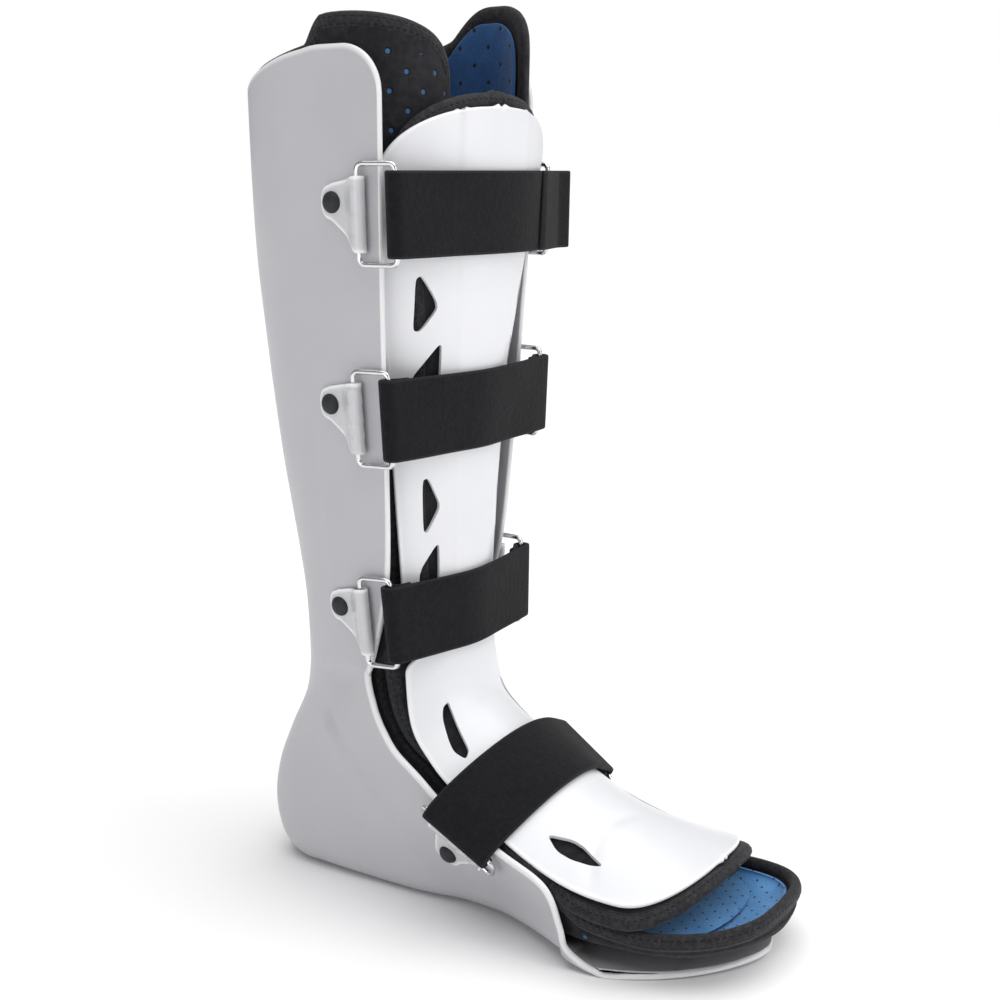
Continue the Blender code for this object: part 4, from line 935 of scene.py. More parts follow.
def tube(path, side, up, half_side, half_up, closed=True, sections=14):
    """A closed band round a path: its section is an ellipse, half_side along side and half_up along up.
    The first map runs along the path and round the section."""
    turn = np.linspace(0, 2 * pi, sections + 1)
    reach_side, reach_up = (np.broadcast_to(v, len(path))[:, None, None] for v in (half_side, half_up))
    across = side[:, None] * reach_side * np.cos(turn)[None, :, None]
    rings = path[:, None] + across + up[:, None] * reach_up * np.sin(turn)[None, :, None]
    if closed:
        rings = np.concatenate((rings, rings[:1]))
    else:
        rings = np.concatenate((np.broadcast_to(path[:1, None], (1, *rings.shape[1:])), rings))
        rings = np.concatenate((rings, np.broadcast_to(path[-1:, None], (1, *rings.shape[1:]))))
    along = step_lengths(rings, 0)[:, :1] + np.zeros((1, sections + 1))
    round_way = np.broadcast_to((turn - pi / 2) * np.mean(half_side), along.shape)
    pair = np.stack((along, round_way), axis=-1).reshape(-1, 2)
    return rings.reshape(-1, 3), grid_faces(*rings.shape[:2]), {"weave": pair, "rim": pair}

# %% [markdown]
# ## The rear shell
#
# One moulding holds the calf, the heel and the sole. Its relief is what catches the light: a stiffening
# ridge that starts with a shoulder below the calf, a heel cup that stands a little proud behind a slanting
# crease, and a soft flute up each side. Each is a smooth step of the point's own place, pushed outwards.

# %% Rear shell
SHELL_COLUMNS = 121
SHELL_LEG_ROWS = 120
SHELL_FOOT_ROWS = 150
SHELL_BULGE = 0.0009
CREASE_TOP = (0.098, 0.100)  # y and z where the heel cup's crease begins
CREASE_FOOT = (0.020, 0.006)  # and where it ends, at the sole
CREASE_PROUD = 0.0016
CREASE_SOFT = 0.0036
FLUTE_DEPTH = 0.0014
FLUTE_HALF = 0.006


def shell_tops(around):
    """Top edge of the shell: low at the rear, high at the sides, rounded down at the front corners."""
    crest = TOP + EAR_RISE * swell((np.abs(around) - 0.10) / 0.60)
    from_front = (1 - np.abs(around)) * FRONT_DEPTH
    inside = np.maximum(EAR_ROUND - from_front, 0)
    return crest - EAR_ROUND + np.sqrt(EAR_ROUND**2 - np.minimum(inside, EAR_ROUND) ** 2)


def edge_columns(count):
    """Columns from one front edge to the other, much closer together near the edges."""
    even = np.linspace(-1, 1, count)
    return np.sign(even) * (1 - (1 - np.abs(even)) ** 1.35)


def shell_relief(points):
    """The ridge down the back of the calf, pushed straight out of the back."""
    moved = points.copy()
    x, z = points[..., 0], points[..., 2]
    behind = swell((points[..., 1] / HEEL_REACH - 0.45) / 0.3)
    rise = (z - ANKLE_HEIGHT) / LEG_RISE
    ridge = swell((0.81 - rise) / 0.05) * swell((rise - 0.20) / 0.50)
    ridge = ridge * np.exp(-((x / SPINE_HALF) ** 4)) * behind
    moved[..., 1] += SPINE_PROUD * ridge
    return moved


def heel_cup(points, normal):
    """Behind the crease the wall stands proud: a smooth step of the distance from the crease's line."""
    start, end = np.array(CREASE_TOP), np.array(CREASE_FOOT)
    way = unit(end - start)
    place = points[..., 1:] - start
    behind = place[..., 0] * -way[1] + place[..., 1] * way[0]
    down = (place @ way) / np.linalg.norm(end - start)
    step = swell(0.5 + behind / CREASE_SOFT) * swell(down / 0.25) * swell((1.08 - down) / 0.2)
    return points + normal * (CREASE_PROUD * step)[..., None]


def flutes(points, normal):
    """A soft hollow up each side of the calf, level with the ridge's foot."""
    rise = (points[..., 2] - ANKLE_HEIGHT) / LEG_RISE
    back = points[..., 1] / HEEL_REACH
    centre = 0.60 - 0.10 * rise
    hollow = np.exp(-(((back - centre) * HEEL_REACH / FLUTE_HALF) ** 2))
    hollow = hollow * swell((rise - 0.05) / 0.25) * swell((0.72 - rise) / 0.30)
    return points - normal * (FLUTE_DEPTH * hollow)[..., None]


def shell_surface(around, leg_rows, foot_rows):
    places = trough_places(SHELL_TABLE, around, leg_rows, foot_rows, shell_tops(around))
    points = wall_points(SHELL_TABLE, places, np.broadcast_to(around, places.shape))
    height = np.maximum(points[..., 2], 0)
    pressed = SOLE_FLAT * np.clip(1 - height / SOLE_FADE, 0, 1)
    points[..., 2] = np.maximum(height - pressed, 0)
    return toe_bend(shell_relief(points))


def build_shell():
    points = shell_surface(edge_columns(SHELL_COLUMNS), SHELL_LEG_ROWS, SHELL_FOOT_ROWS)
    low = points[..., 2] < 0.0005
    for relief in (heel_cup, flutes):
        points = relief(points, grid_normals(points, True))
    points[low, 2] = 0
    inner = points - grid_normals(points, True) * SHELL_WALL
    inner[..., 2] = np.maximum(inner[..., 2], SHELL_WALL)
    every, faces, maps = slab(points, SHELL_WALL, SHELL_BULGE, seam=True, inner=inner)
    every[:, 2] = np.maximum(every[:, 2], 0)
    mesh = build_mesh("shell", every, faces, maps)
    return add_piece("moulded_shell", mesh, SHELL_PLASTIC, "shell_plastic", "rear_shell")


shell = build_shell()
print("shell", len(shell.data.polygons), "faces,", [round(v, 4) for v in shell.dimensions])

# %% [markdown]
# ## The liner and its binding
#
# The liner is a foam pad, thick enough that its rim shows all the way up and round the toe. It turns in
# behind the shin plate, and its outer wing curls round the front of the calf. A pad is softer than a
# moulding, so its surface swells a little between the rim and the middle, and the rim itself is wrapped in
# a band of binding, which is a separate band swept round the same outline.

# %% Liner
LINER_COLUMNS = 111
WING_COLUMNS = 34
LINER_LEG_ROWS = 110
LINER_FOOT_ROWS = 130
PAD_SWELL = 0.0007
SWELL_PITCH = 0.048
WING_MORE = 0.004  # the soft wings' front edges reach this much further round than the CAD piece's
WING_MORE_FAR = 0.003
WING_MORE_FROM = 0.345
CREST_START = {-1: 0.15, 1: 0.16}  # where each side's crest begins to rise
CREST_RUN = {-1: 0.95, 1: 0.80}
FALL_SHARE = (0.75, 0.45)  # how much of its rise each crest loses at the wing's front corner
FALL_START = 1.10
FALL_RUN = 0.40
SEAM_IN = 0.0072  # from the rim to the binding's seam
SEAM_SINK = 0.0007


def wing_shape(heights, fronts, around):
    """How far the liner's wall goes past the shell's front edge, how far behind that edge it begins to
    turn in, and the radius of its turn. It turns in beside the instep and behind the shin plate all the
    way up the leg, and most at the top of the outer side. heights are the sections' rear ends above the
    floor, fronts how far their front edges are behind the origin."""
    rise = (heights - ANKLE_HEIGHT) / LEG_RISE
    instep = swell((fronts / BALL_REACH + 0.50) / 0.45)
    leg = swell((rise - 0.02) / 0.24)
    top = swell((rise - 0.80) / 0.20)
    near = np.where(around < 0, swell((rise - 0.60) / 0.25), 0)
    far_top = np.where(around < 0, 0, top)
    past = LINER_PAST + (FOLD_REACH - LINER_PAST) * instep + (WRAP_REACH - FOLD_REACH) * leg
    past = past + (WING_MIDDLE_REACH - WRAP_REACH) * near
    past = past + np.where(around < 0, WING_REACH - WING_MIDDLE_REACH, WING_REACH_FAR - WRAP_REACH) * top
    setback = FOLD_SETBACK * instep + (WRAP_SETBACK - FOLD_SETBACK) * leg
    setback = setback + (WING_SETBACK - WRAP_SETBACK) * near
    curl = FOLD_CURL + (WRAP_CURL - FOLD_CURL) * leg
    curl = curl + (WING_CURL - WRAP_CURL) * near + (WING_CURL_FAR - WRAP_CURL) * far_top
    return past, setback, curl


def liner_surface(inset, around, leg_rows, foot_rows, drop):
    """The liner's surface this far inside its outer face, its rim this far from the liner's rim, and the
    metres of each point along the middle of the back, for its weave. around runs from -1.5 to 1.5, and
    the last half on each side lies past the shell's front edge."""
    way = np.abs(around)
    side_rise = np.where(around < 0, WING_RISE, WING_RISE_FAR)
    start, run = (np.where(around < 0, side[-1], side[1]) for side in (CREST_START, CREST_RUN))
    crest = TOP + LINER_REAR_RISE + (side_rise - LINER_REAR_RISE) * swell((way - start) / run)
    front_round = np.where(around < 0, *FALL_SHARE) * side_rise
    front = 1 - np.sqrt(np.maximum(1 - np.clip((way - FALL_START) / FALL_RUN, 0, 1) ** 2, 0))
    tops = crest - drop - front_round * front
    table = inset_line(LINER_TABLE, inset)
    places = trough_places(table, around, leg_rows, foot_rows, tops)
    samples = np.linspace(0, 1, len(table))
    heights = np.interp(places, samples, table[:, 1])
    fronts = np.interp(places, samples, table[:, 2])
    past, setback, curl = wing_shape(heights, fronts, around[None, :])
    past = past + np.where(around < 0, WING_MORE, WING_MORE_FAR) * swell((heights - WING_MORE_FROM) / 0.05)
    columns = np.broadcast_to(around, places.shape)
    points = wall_points(table, places, columns, past - drop, setback, curl - inset)
    back_line = np.insert(np.cumsum(np.hypot(*np.diff(table[:, :2], axis=0).T)), 0, 0)
    return toe_bend(points), np.interp(places, samples, back_line)


def liner_around():
    wing = 1 + 0.5 * np.arange(1, WING_COLUMNS + 1) / WING_COLUMNS
    return np.concatenate((-wing[::-1], edge_columns(LINER_COLUMNS), wing))


def liner_weave(points, down):
    """Metres round from the middle of the back, and metres down the back."""
    steps = np.linalg.norm(np.diff(points, axis=1), axis=-1) ** 2 - np.diff(down, axis=1) ** 2
    across = np.insert(np.cumsum(np.sqrt(np.maximum(steps, 0)), axis=1), 0, 0, axis=1)
    across = across - across[:, points.shape[1] // 2][:, None]
    return np.stack((across, down), axis=-1)


def soft_swell(points, normal, rim, weave):
    """A pad's own unevenness: a slow swell between its rims, and a sunk line at the binding's seam."""
    slow = np.sin(2 * pi * weave[..., 0] / SWELL_PITCH) * np.sin(2 * pi * weave[..., 1] / (1.7 * SWELL_PITCH))
    inside = swell((rim - SEAM_IN) / 0.02)
    seam = np.exp(-(((rim - SEAM_IN) / 0.0012) ** 2))
    return points + normal * (PAD_SWELL * slow * inside - SEAM_SINK * seam)[..., None]


BAND_SPACING = 0.0012
BAND_SMOOTH = 4


def even_loop(spacing, path, *others):
    """Points at this spacing round a closed path, with what they carry, each smoothed by its neighbours."""
    closed = np.vstack((path, path[:1]))
    along = np.insert(np.cumsum(np.linalg.norm(np.diff(closed, axis=0), axis=1)), 0, 0)
    places = np.linspace(0, along[-1], int(along[-1] / spacing), endpoint=False)
    found = []
    for values in (path, *others):
        values = np.vstack((values, values[:1]))
        values = np.stack([np.interp(places, along, column) for column in values.T], axis=1)
        for _ in range(BAND_SMOOTH):
            values = 0.5 * values + 0.25 * (np.roll(values, 1, axis=0) + np.roll(values, -1, axis=0))
        found.append(values)
    return found


def binding_band(points, wall, seam, half_thick, half_deep):
    """A band round a pad's rim: the middle of the rim, and an ellipse across it."""
    normal = grid_normals(points, seam)
    _, edge, facing, outward = rim_frames(points, normal, seam)
    keep = np.linalg.norm(np.roll(edge, -1, axis=0) - edge, axis=1) > 2e-5
    edge, facing, outward = edge[keep], facing[keep], outward[keep]
    path = edge - facing * wall / 2 - outward * 0.55 * half_deep
    path, outward, facing = even_loop(BAND_SPACING, path, outward, facing)
    return tube(path, unit(outward), unit(facing), half_deep, half_thick)


BINDING_THICK = 0.0027
BINDING_DEEP = 0.0040


def build_liner():
    points, down = liner_surface(0, liner_around(), LINER_LEG_ROWS, LINER_FOOT_ROWS, 0)
    weave = liner_weave(points, down)
    rim = rim_map(points, True)[..., 1]
    soft = soft_swell(points, grid_normals(points, True), rim, weave)
    mesh = build_mesh("liner", *slab(soft, PAD_WALL, 0.0015, seam=True, weave=weave))
    liner = add_piece("padded_liner", mesh, BLACK_CLOTH, "liner_cloth", "liner_pad")
    band = build_mesh("liner binding", *binding_band(points, PAD_WALL, True, BINDING_THICK, BINDING_DEEP))
    return liner, add_piece("liner_binding", band, BINDING_TAPE, "liner_cloth")


def build_lining():
    inset = PAD_WALL + LINING_ROOM
    points, down = liner_surface(inset, liner_around(), LINER_LEG_ROWS, LINER_FOOT_ROWS, LINING_SETBACK)
    weave = liner_weave(points, down)
    mesh = build_mesh("lining", *slab(points, LINING_WALL, 0.0005, seam=True, weave=weave))
    lining = add_piece("blue_lining", mesh, LINING_BLUE, "lining_cloth", "liner_lining")
    return lining


for piece in (*build_liner(), build_lining()):
    print(piece.name, len(piece.data.polygons), "faces,", [round(v, 4) for v in piece.dimensions])

# %% [markdown]
# ## The footbed
#
# The footbed fills the bottom of the lining up to a level top, and only its toe end shows. It is one grid
# laid under and one over, which meet at the sides.

# %% Footbed
FOOTBED_ROWS = 120
FOOTBED_COLUMNS = 61
FOOTBED_CROWN = 0.0005
TIP_ROUND = 0.14  # how far back the toe end curves at its sides, as a share of the length


def build_footbed():
    table = inset_line(LINER_TABLE, PAD_WALL + LINING_ROOM + LINING_WALL + INSOLE_ROOM)
    samples = np.linspace(0, 1, len(table))
    low = (table[:, 1] < INSOLE_TOP - 0.0012) & (table[:, 4] > 0.004)
    middle = np.linspace(samples[low][0], samples[low][-1], FOOTBED_ROWS)
    way = np.linspace(0, 1, 200)
    line = wall_points(table, middle[:, None], way[None, :])
    reach_top = np.array([np.interp(INSOLE_TOP, row[:, 2], way) for row in line])
    across = np.linspace(-1, 1, FOOTBED_COLUMNS)
    run = middle[-1] - middle[0]
    tip = TIP_ROUND * run * ((middle - middle[0]) / run) ** 6
    places = middle[:, None] - tip[:, None] * (1 - np.sqrt(1 - (0.98 * across[None, :]) ** 2))
    under = wall_points(table, places, np.interp(places, middle, reach_top) * across[None, :])
    over = under[:, :1] + (under[:, -1:] - under[:, :1]) * ((across + 1) / 2)[None, :, None]
    over[..., 2] = INSOLE_TOP - FOOTBED_CROWN * across**2
    over, under = toe_bend(over), toe_bend(under)
    weave = over[..., :2]
    mesh = build_mesh("footbed", *slab(over, 0, 0.0004, inner=under, weave=weave))
    footbed = add_piece("footbed", mesh, FOOTBED_BLUE, "lining_cloth", "insole")
    return footbed


print("footbed", [round(v, 4) for v in build_footbed().dimensions])

# %% [markdown]
# ## The front plates
#
# Two white mouldings close the front. Both lie on one surface: a line down the shin and over the instep,
# with a curved section across it whose edges fall back. The middle panel stands a hair proud of the sides,
# and the cut-outs show the black pad. A hole with round corners is cut with a Boolean, because a grid has
# no edge to follow round it, and the cutters are prisms of smooth outlines.

# %% The front line
PLATE_TOP_ROUND = 0.034
PLATE_TOE_ROUND = 0.026
PLATE_SEAM_ROUND = 0.010
FOOT_PLATE_REACH = 0.108  # origin to the front edge of the foot plate
SHIN_TOP = 0.985  # top and bottom of the shin plate, and top of the foot plate, as shares of LEG_RISE
SHIN_BOTTOM = 0.075
FOOT_TOP = 0.035
PLATE_SQUARENESS = 2.4
PLATE_POWER = 2.1
CUT_REACH = 0.008
PAD_MARGIN = 0.005  # the pads stand out past the top of the shin plate and the toe of the foot plate
PAD_ROOM = 0.0008  # air between a plate and its pad
SHIN_ROWS = (
    # rise, y, tilt in degrees, half, drop, pad, turn
    (1.100, 0.040, 0, 0.900, 0.315, 0.800, 0.140),
    (0.920, 0.054, 0, 0.900, 0.315, 0.790, 0.138),
    (0.804, 0.070, 0, 0.870, 0.330, 0.730, 0.100),
    (0.665, 0.089, 0, 0.840, 0.345, 0.640, 0.050),
    (0.523, 0.117, 0, 0.750, 0.330, 0.580, 0.030),
    (0.308, 0.146, 0, 0.669, 0.282, 0.540, 0.010),
    (0.165, 0.157, 0, 0.620, 0.258, 0.500, 0.000),
    (0.070, 0.161, 4, 0.590, 0.250, 0.480, 0.000),
)
INSTEP_ROWS = (
    # y, z, tilt in degrees, half, drop, pad, turn
    (0.152, 0.970, 15, 0.600, 0.260, 0.470, 0),
    (0.128, 0.840, 34, 0.630, 0.280, 0.470, 0),
    (0.070, 0.765, 47, 0.650, 0.290, 0.480, 0),
    (-0.010, 0.705, 55, 0.680, 0.300, 0.500, 0),
    (-0.180, 0.603, 60, 0.720, 0.305, 0.560, 0),
    (-0.345, 0.508, 65, 0.740, 0.290, 0.660, 0),
    (-0.510, 0.438, 71, 0.760, 0.255, 0.785, 0),
    (-0.690, 0.392, 76, 0.750, 0.195, 0.800, 0),
    (-0.900, 0.358, 80, 0.700, 0.120, 0.750, 0),
)


def front_rows():
    """The front line's y, z, tilt, half width, drop, half the pad's width and turn, in metres and radians."""
    rows = [(y * HEEL_REACH, ANKLE_HEIGHT + rise * LEG_RISE, *rest) for rise, y, *rest in SHIN_ROWS]
    rows += [(reach(y), z * ANKLE_HEIGHT, *rest) for y, z, *rest in INSTEP_ROWS]
    scale = np.array((1, 1, pi / 180, CALF_HALF, CALF_HALF, CALF_HALF, 1))
    return np.array(rows) * scale


FRONT_TABLE = smooth_table(front_rows())
FRONT_STEPS = np.hypot(*np.diff(FRONT_TABLE[:, :2], axis=0).T)
FRONT_ALONG = np.concatenate(([0], np.cumsum(FRONT_STEPS)))


def front_column(along, column):
    return np.interp(along, FRONT_ALONG, FRONT_TABLE[:, column])


def front_points(along, x, lift=0.0):
    """Points of the plates' outer face: along is metres down the front line, x is metres across, and
    lift is metres out along the surface's own normal."""
    y, z, tilt, half, drop, _, turn = (front_column(along, column) for column in range(7))
    share = np.abs(x) / half
    fall = drop * share**PLATE_POWER - turn * x
    slope = np.sign(x) * drop * PLATE_POWER / half * share ** (PLATE_POWER - 1) - turn
    out_y, out_z = -np.cos(tilt), np.sin(tilt)
    scale = lift / np.sqrt(1 + slope**2)
    return np.stack(
        (x + slope * scale, y - out_y * fall + out_y * scale, z - out_z * fall + out_z * scale), axis=-1
    )


def along_at(rise):
    """Metres down the front line at this share of LEG_RISE above the ankle."""
    return np.interp(-(ANKLE_HEIGHT + rise * LEG_RISE), -FRONT_TABLE[:, 1], FRONT_ALONG)


def end_taper(along, start, end, start_round, end_round):
    """1 along a plate, falling to 0 at its rounded ends as a superellipse does."""
    power = PLATE_SQUARENESS
    near = np.clip(1 - (along - start) / start_round, 0, 1)
    far = np.clip(1 - (end - along) / end_round, 0, 1)
    return (1 - near**power) ** (1 / power) * (1 - far**power) ** (1 / power)


SHIN_START = along_at(SHIN_TOP)
SHIN_END = along_at(SHIN_BOTTOM)
FOOT_START = along_at(FOOT_TOP)
FOOT_END = np.interp(FOOT_PLATE_REACH, -FRONT_TABLE[:, 0], FRONT_ALONG)
print("front line", round(float(FRONT_ALONG[-1]), 3), "m long")

# %% Cut-outs
SHIN_HOLES = {
    "upper_triangle": (
        (0.66, 0.700), (0.62, 0.707), (0.51, 0.662), (0.50, 0.648), (0.60, 0.610), (0.65, 0.612),
    ),
    "upper_slot": ((0.44, 0.585), (0.47, 0.585), (0.61, 0.535), (0.63, 0.515), (0.60, 0.430), (0.42, 0.430)),
    "lower_triangle": (
        (0.52, 0.345), (0.48, 0.348), (0.39, 0.300), (0.39, 0.288), (0.47, 0.247), (0.50, 0.250),
    ),
    "lower_slot": ((0.38, 0.222), (0.41, 0.222), (0.50, 0.185), (0.52, 0.165), (0.49, 0.080), (0.37, 0.080)),
}
FOOT_HOLES = {
    "instep_slot": ((0.36, 0.150), (0.42, 0.160), (0.52, 0.262), (0.50, 0.300), (0.43, 0.285), (0.36, 0.190)),
    "toe_slot": ((0.54, 0.600), (0.60, 0.650), (0.60, 0.700), (0.54, 0.775), (0.47, 0.700), (0.47, 0.660)),
}
HOLE_ROUND = 0.30  # share of each side of an outline that its rounded corners take
HOLE_STEPS = 7


def rounded(points):
    """Each corner becomes a curve between points on its two sides: (1 - t) squared of the first, plus
    2 t (1 - t) of the corner, plus t squared of the second."""
    corner = np.array(points)
    before = corner + (np.roll(corner, 1, axis=0) - corner) * HOLE_ROUND
    after = corner + (np.roll(corner, -1, axis=0) - corner) * HOLE_ROUND
    share = np.linspace(0, 1, HOLE_STEPS)[None, :, None]
    curve = before[:, None] * (1 - share) ** 2 + 2 * corner[:, None] * share * (1 - share)
    return (curve + after[:, None] * share**2).reshape(-1, 2)


def foot_along(share):
    """Metres along the front line, from a share of the foot plate's length."""
    return FOOT_START + share * (FOOT_END - FOOT_START)


def foot_share(along):
    """The same the other way."""
    return (along - FOOT_START) / (FOOT_END - FOOT_START)


def outlines(holes, place):
    """The cut-outs as metres along and across, with round corners. place turns a share into metres."""
    return [rounded([(place(share), x * CALF_HALF) for x, share in shape]) for shape in holes.values()]


def prism(shape, side):
    """A prism of an outline on the front surface, standing out of it on both sides."""
    flat = toe_bend(front_points(shape[:, 0], shape[:, 1] * side))
    middle = np.mean(shape, axis=0)
    out = front_points(middle[0], middle[1] * side, 1.0) - front_points(middle[0], middle[1] * side)
    count = len(flat)
    ring = np.arange(count)
    after = np.roll(ring, -1)
    sides = np.stack((ring, ring + count, after + count, after), axis=1).tolist()
    caps = [ring.tolist(), (ring[::-1] + count).tolist()]
    return np.vstack((flat + out * CUT_REACH, flat - out * CUT_REACH)), caps + sides


def cut_through(piece, shapes):
    """Cuts every outline out of the piece, once on each side, and keeps the result as its mesh."""
    for side in (-1, 1):
        cut_side(piece, shapes, side)
    sharpen(piece.data)


def cut_side(piece, shapes, side):
    points, faces, start = [], [], 0
    for shape in shapes:
        corners, walls = prism(shape, side)
        points.append(corners)
        faces += [[index + start for index in wall] for wall in walls]
        start += len(corners)
    mesh = bpy.data.meshes.new("cutters")
    mesh.from_pydata(np.vstack(points).tolist(), [], faces)
    work = bmesh.new()
    work.from_mesh(mesh)
    bmesh.ops.recalc_face_normals(work, faces=work.faces)
    work.to_mesh(mesh)
    work.free()
    tool = bpy.data.objects.new("cutters", mesh)
    bpy.context.scene.collection.objects.link(tool)
    cut = piece.modifiers.new("Cut-outs", "BOOLEAN")
    cut.object = tool
    cut.solver = "EXACT"
    graph = bpy.context.evaluated_depsgraph_get()
    made = bpy.data.meshes.new_from_object(piece.evaluated_get(graph))
    piece.modifiers.clear()
    old, piece.data = piece.data, made
    bpy.data.meshes.remove(old)
    bpy.data.objects.remove(tool)
    bpy.data.meshes.remove(mesh)


def sharpen(mesh, degrees=48):
    """Marks the edges where two faces meet at more than this angle, so that smooth shading stops there."""
    work = bmesh.new()
    work.from_mesh(mesh)
    for edge in work.edges:
        edge.smooth = edge.calc_face_angle(0.0) < radians(degrees)
    work.to_mesh(mesh)
    work.free()

# %% Plates
PLATE_COLUMNS = 97
SIDE_CROWD = 0.92 * pi / 2  # columns are sines of even steps up to this angle, so they crowd at the sides
SHIN_PLATE_ROWS = 200
FOOT_PLATE_ROWS = 160
PANEL_HALF = 0.40  # half width of the raised middle, as a share of the plate's
PANEL_PROUD = 0.0006
PANEL_SOFT = 0.0022
CREASE_ALONG = 0.70  # the foot plate's faint crease, as a share of its length
CREASE_RISE = 0.0009
CREASE_BOW = 0.16  # how far the crease bows along the plate, and the place across where its bow starts
CREASE_MIDDLE = -0.25
CREASE_WIDE = 0.022
CREASE_END = 0.35  # the crease stops short of the inner side, over CREASE_FADE, both as shares across
CREASE_FADE = 0.50
CREASE_EDGE = 0.25  # and over this share of the width at the plate's edges
ROW_CROWD = 1.7
PLATE_HALF = 3  # columns of the front table that hold the plate's half width and the pad's
PAD_HALF = 5
PLATE_RIM = 0.0008
END_POINT = 0.04  # an end row is this share of the full width, so the ends are round


def end_rows(start, end, count):
    """Rows that crowd towards both rounded ends: a cosine, sharpened."""
    even = np.linspace(-1, 1, count)
    return start + (end - start) * (0.5 + 0.5 * np.sign(even) * (1 - (1 - np.abs(even)) ** ROW_CROWD))


def front_sheet(along, rounds, column, columns, lift, wider=0.0):
    """A sheet on the front surface with rounded ends. lift is a function of the place along, across and
    the half width. Its columns run from the inner side, so that its normals point out of the leg."""
    taper = end_taper(along, along[0], along[-1], *rounds)
    half = ((front_column(along, column) + wider) * np.maximum(taper, END_POINT))[:, None]
    share = np.sin(np.linspace(1, -1, columns) * SIDE_CROWD) / sin(SIDE_CROWD)
    across = share[None, :] * half
    full = front_column(along, column)[:, None]
    places = np.broadcast_to(along[:, None], across.shape)
    return toe_bend(front_points(places, across, lift(places, across, full)))


def panel_lift(along, across, half):
    """The middle panel: a smooth step down at its two sides."""
    return PANEL_PROUD * (swell((PANEL_HALF * half - np.abs(across)) / PANEL_SOFT + 0.5) - 1)


def toe_lift(along, across, half):
    """A faint crease that curves across the outer half of the foot plate, over the roots of the toes."""
    aside = across / half
    line = CREASE_ALONG + CREASE_BOW * (aside - CREASE_MIDDLE) ** 2
    bend = np.exp(-(((foot_share(along) - line) / CREASE_WIDE) ** 2))
    bend = bend * swell((CREASE_END - aside) / CREASE_FADE)
    return -CREASE_RISE * bend * swell((1 - np.abs(aside)) / CREASE_EDGE)


def build_plate(name, node, along, rounds, lift, shapes):
    points = front_sheet(along, rounds, PLATE_HALF, PLATE_COLUMNS, lift)
    mesh = build_mesh(name, *slab(points, PLATE_WALL, PLATE_RIM))
    plate = add_piece(name, mesh, PLATE_PLASTIC, "plate_plastic", node)
    cut_through(plate, shapes)
    return plate


shin_front = build_plate(
    "shin_guard", "shin_plate", end_rows(SHIN_START, SHIN_END, SHIN_PLATE_ROWS),
    (PLATE_TOP_ROUND, PLATE_SEAM_ROUND), panel_lift, outlines(SHIN_HOLES, along_at),
)
foot_front = build_plate(
    "instep_guard", "foot_plate", end_rows(FOOT_START, FOOT_END, FOOT_PLATE_ROWS),
    (PLATE_SEAM_ROUND, PLATE_TOE_ROUND), toe_lift, outlines(FOOT_HOLES, foot_along),
)
for piece in (shin_front, foot_front):
    print(piece.name, len(piece.data.polygons), "faces,", [round(v, 4) for v in piece.dimensions])

# %% [markdown]
# ## The pads behind the plates
#
# Each plate is riveted to a foam pad of the same black cloth, which stands out past the plate all round and
# ends in a thick band of binding. The band is what shows, above the shin plate and round the toes.

# %% Pads and their bindings
PAD_COLUMNS = 61
PAD_ROWS = 150
PAD_BAND_THICK = 0.0030
PAD_BAND_DEEP = 0.0042
SHIN_PAD_WIDER = 0.001
ANKLE_PAD_WIDER = 0.010
FOOT_PAD_WIDER = 0.0035  # the soft foot pad shows past both sides of its plate
PAD_START_MORE = 0.010
PAD_THINS = 0.0004  # how much lower the pad lies at its edge
PAD_RIM = 0.0015
ANKLE_ENDS = 0.10  # the ankle's extra width goes from here, over ANKLE_FADE, as shares of the foot plate
ANKLE_FADE = 0.35
PAD_LIFT = -(PLATE_WALL + PAD_ROOM)


def pad_lift(along, across, half):
    """The pad is fullest down its middle and thins a little towards its edge."""
    return PAD_LIFT - PAD_THINS * (np.abs(across) / half) ** 2


def foot_pad_wider(along):
    """The foot pad is widest at the ankle, where it closes the gap to the liner."""
    return FOOT_PAD_WIDER + ANKLE_PAD_WIDER * (1 - swell((foot_share(along) - ANKLE_ENDS) / ANKLE_FADE))


def build_pad(name, node, along, rounds, wider):
    points = front_sheet(along, rounds, PAD_HALF, PAD_COLUMNS, pad_lift, wider)
    mesh = build_mesh(name, *slab(points, PAD_WALL, PAD_RIM))
    pad = add_piece(name, mesh, PAD_CLOTH, "liner_cloth", node)
    band = build_mesh(name + " band", *binding_band(points, PAD_WALL, False, PAD_BAND_THICK, PAD_BAND_DEEP))
    return pad, add_piece(name + "_binding", band, BINDING_TAPE, "liner_cloth")


def pad_rows(start, end, before, after):
    return end_rows(start - before, end + after, PAD_ROWS)


foot_rows = pad_rows(FOOT_START, FOOT_END, PAD_START_MORE, PAD_MARGIN)
pads = build_pad(
    "shin_cushion", "shin_pad", pad_rows(SHIN_START, SHIN_END, PAD_MARGIN, 0),
    (PLATE_TOP_ROUND, PLATE_SEAM_ROUND), SHIN_PAD_WIDER,
)
pads += build_pad(
    "instep_cushion", "foot_pad", foot_rows, (PLATE_SEAM_ROUND, PLATE_TOE_ROUND), foot_pad_wider(foot_rows),
)
for piece in pads:
    print(piece.name, len(piece.data.polygons), "faces,", [round(v, 4) for v in piece.dimensions])

# %% [markdown]
# ## Where a strap lies
#
# A strap is pulled taut between two rings over the plates, so its line is the shortest one round what it
# crosses: the outer hull of the plate's and the shell's sections. It folds round each ring's front bar and
# is sewn to itself. All of this is flat work in the strap's own plane, and the width is added last.

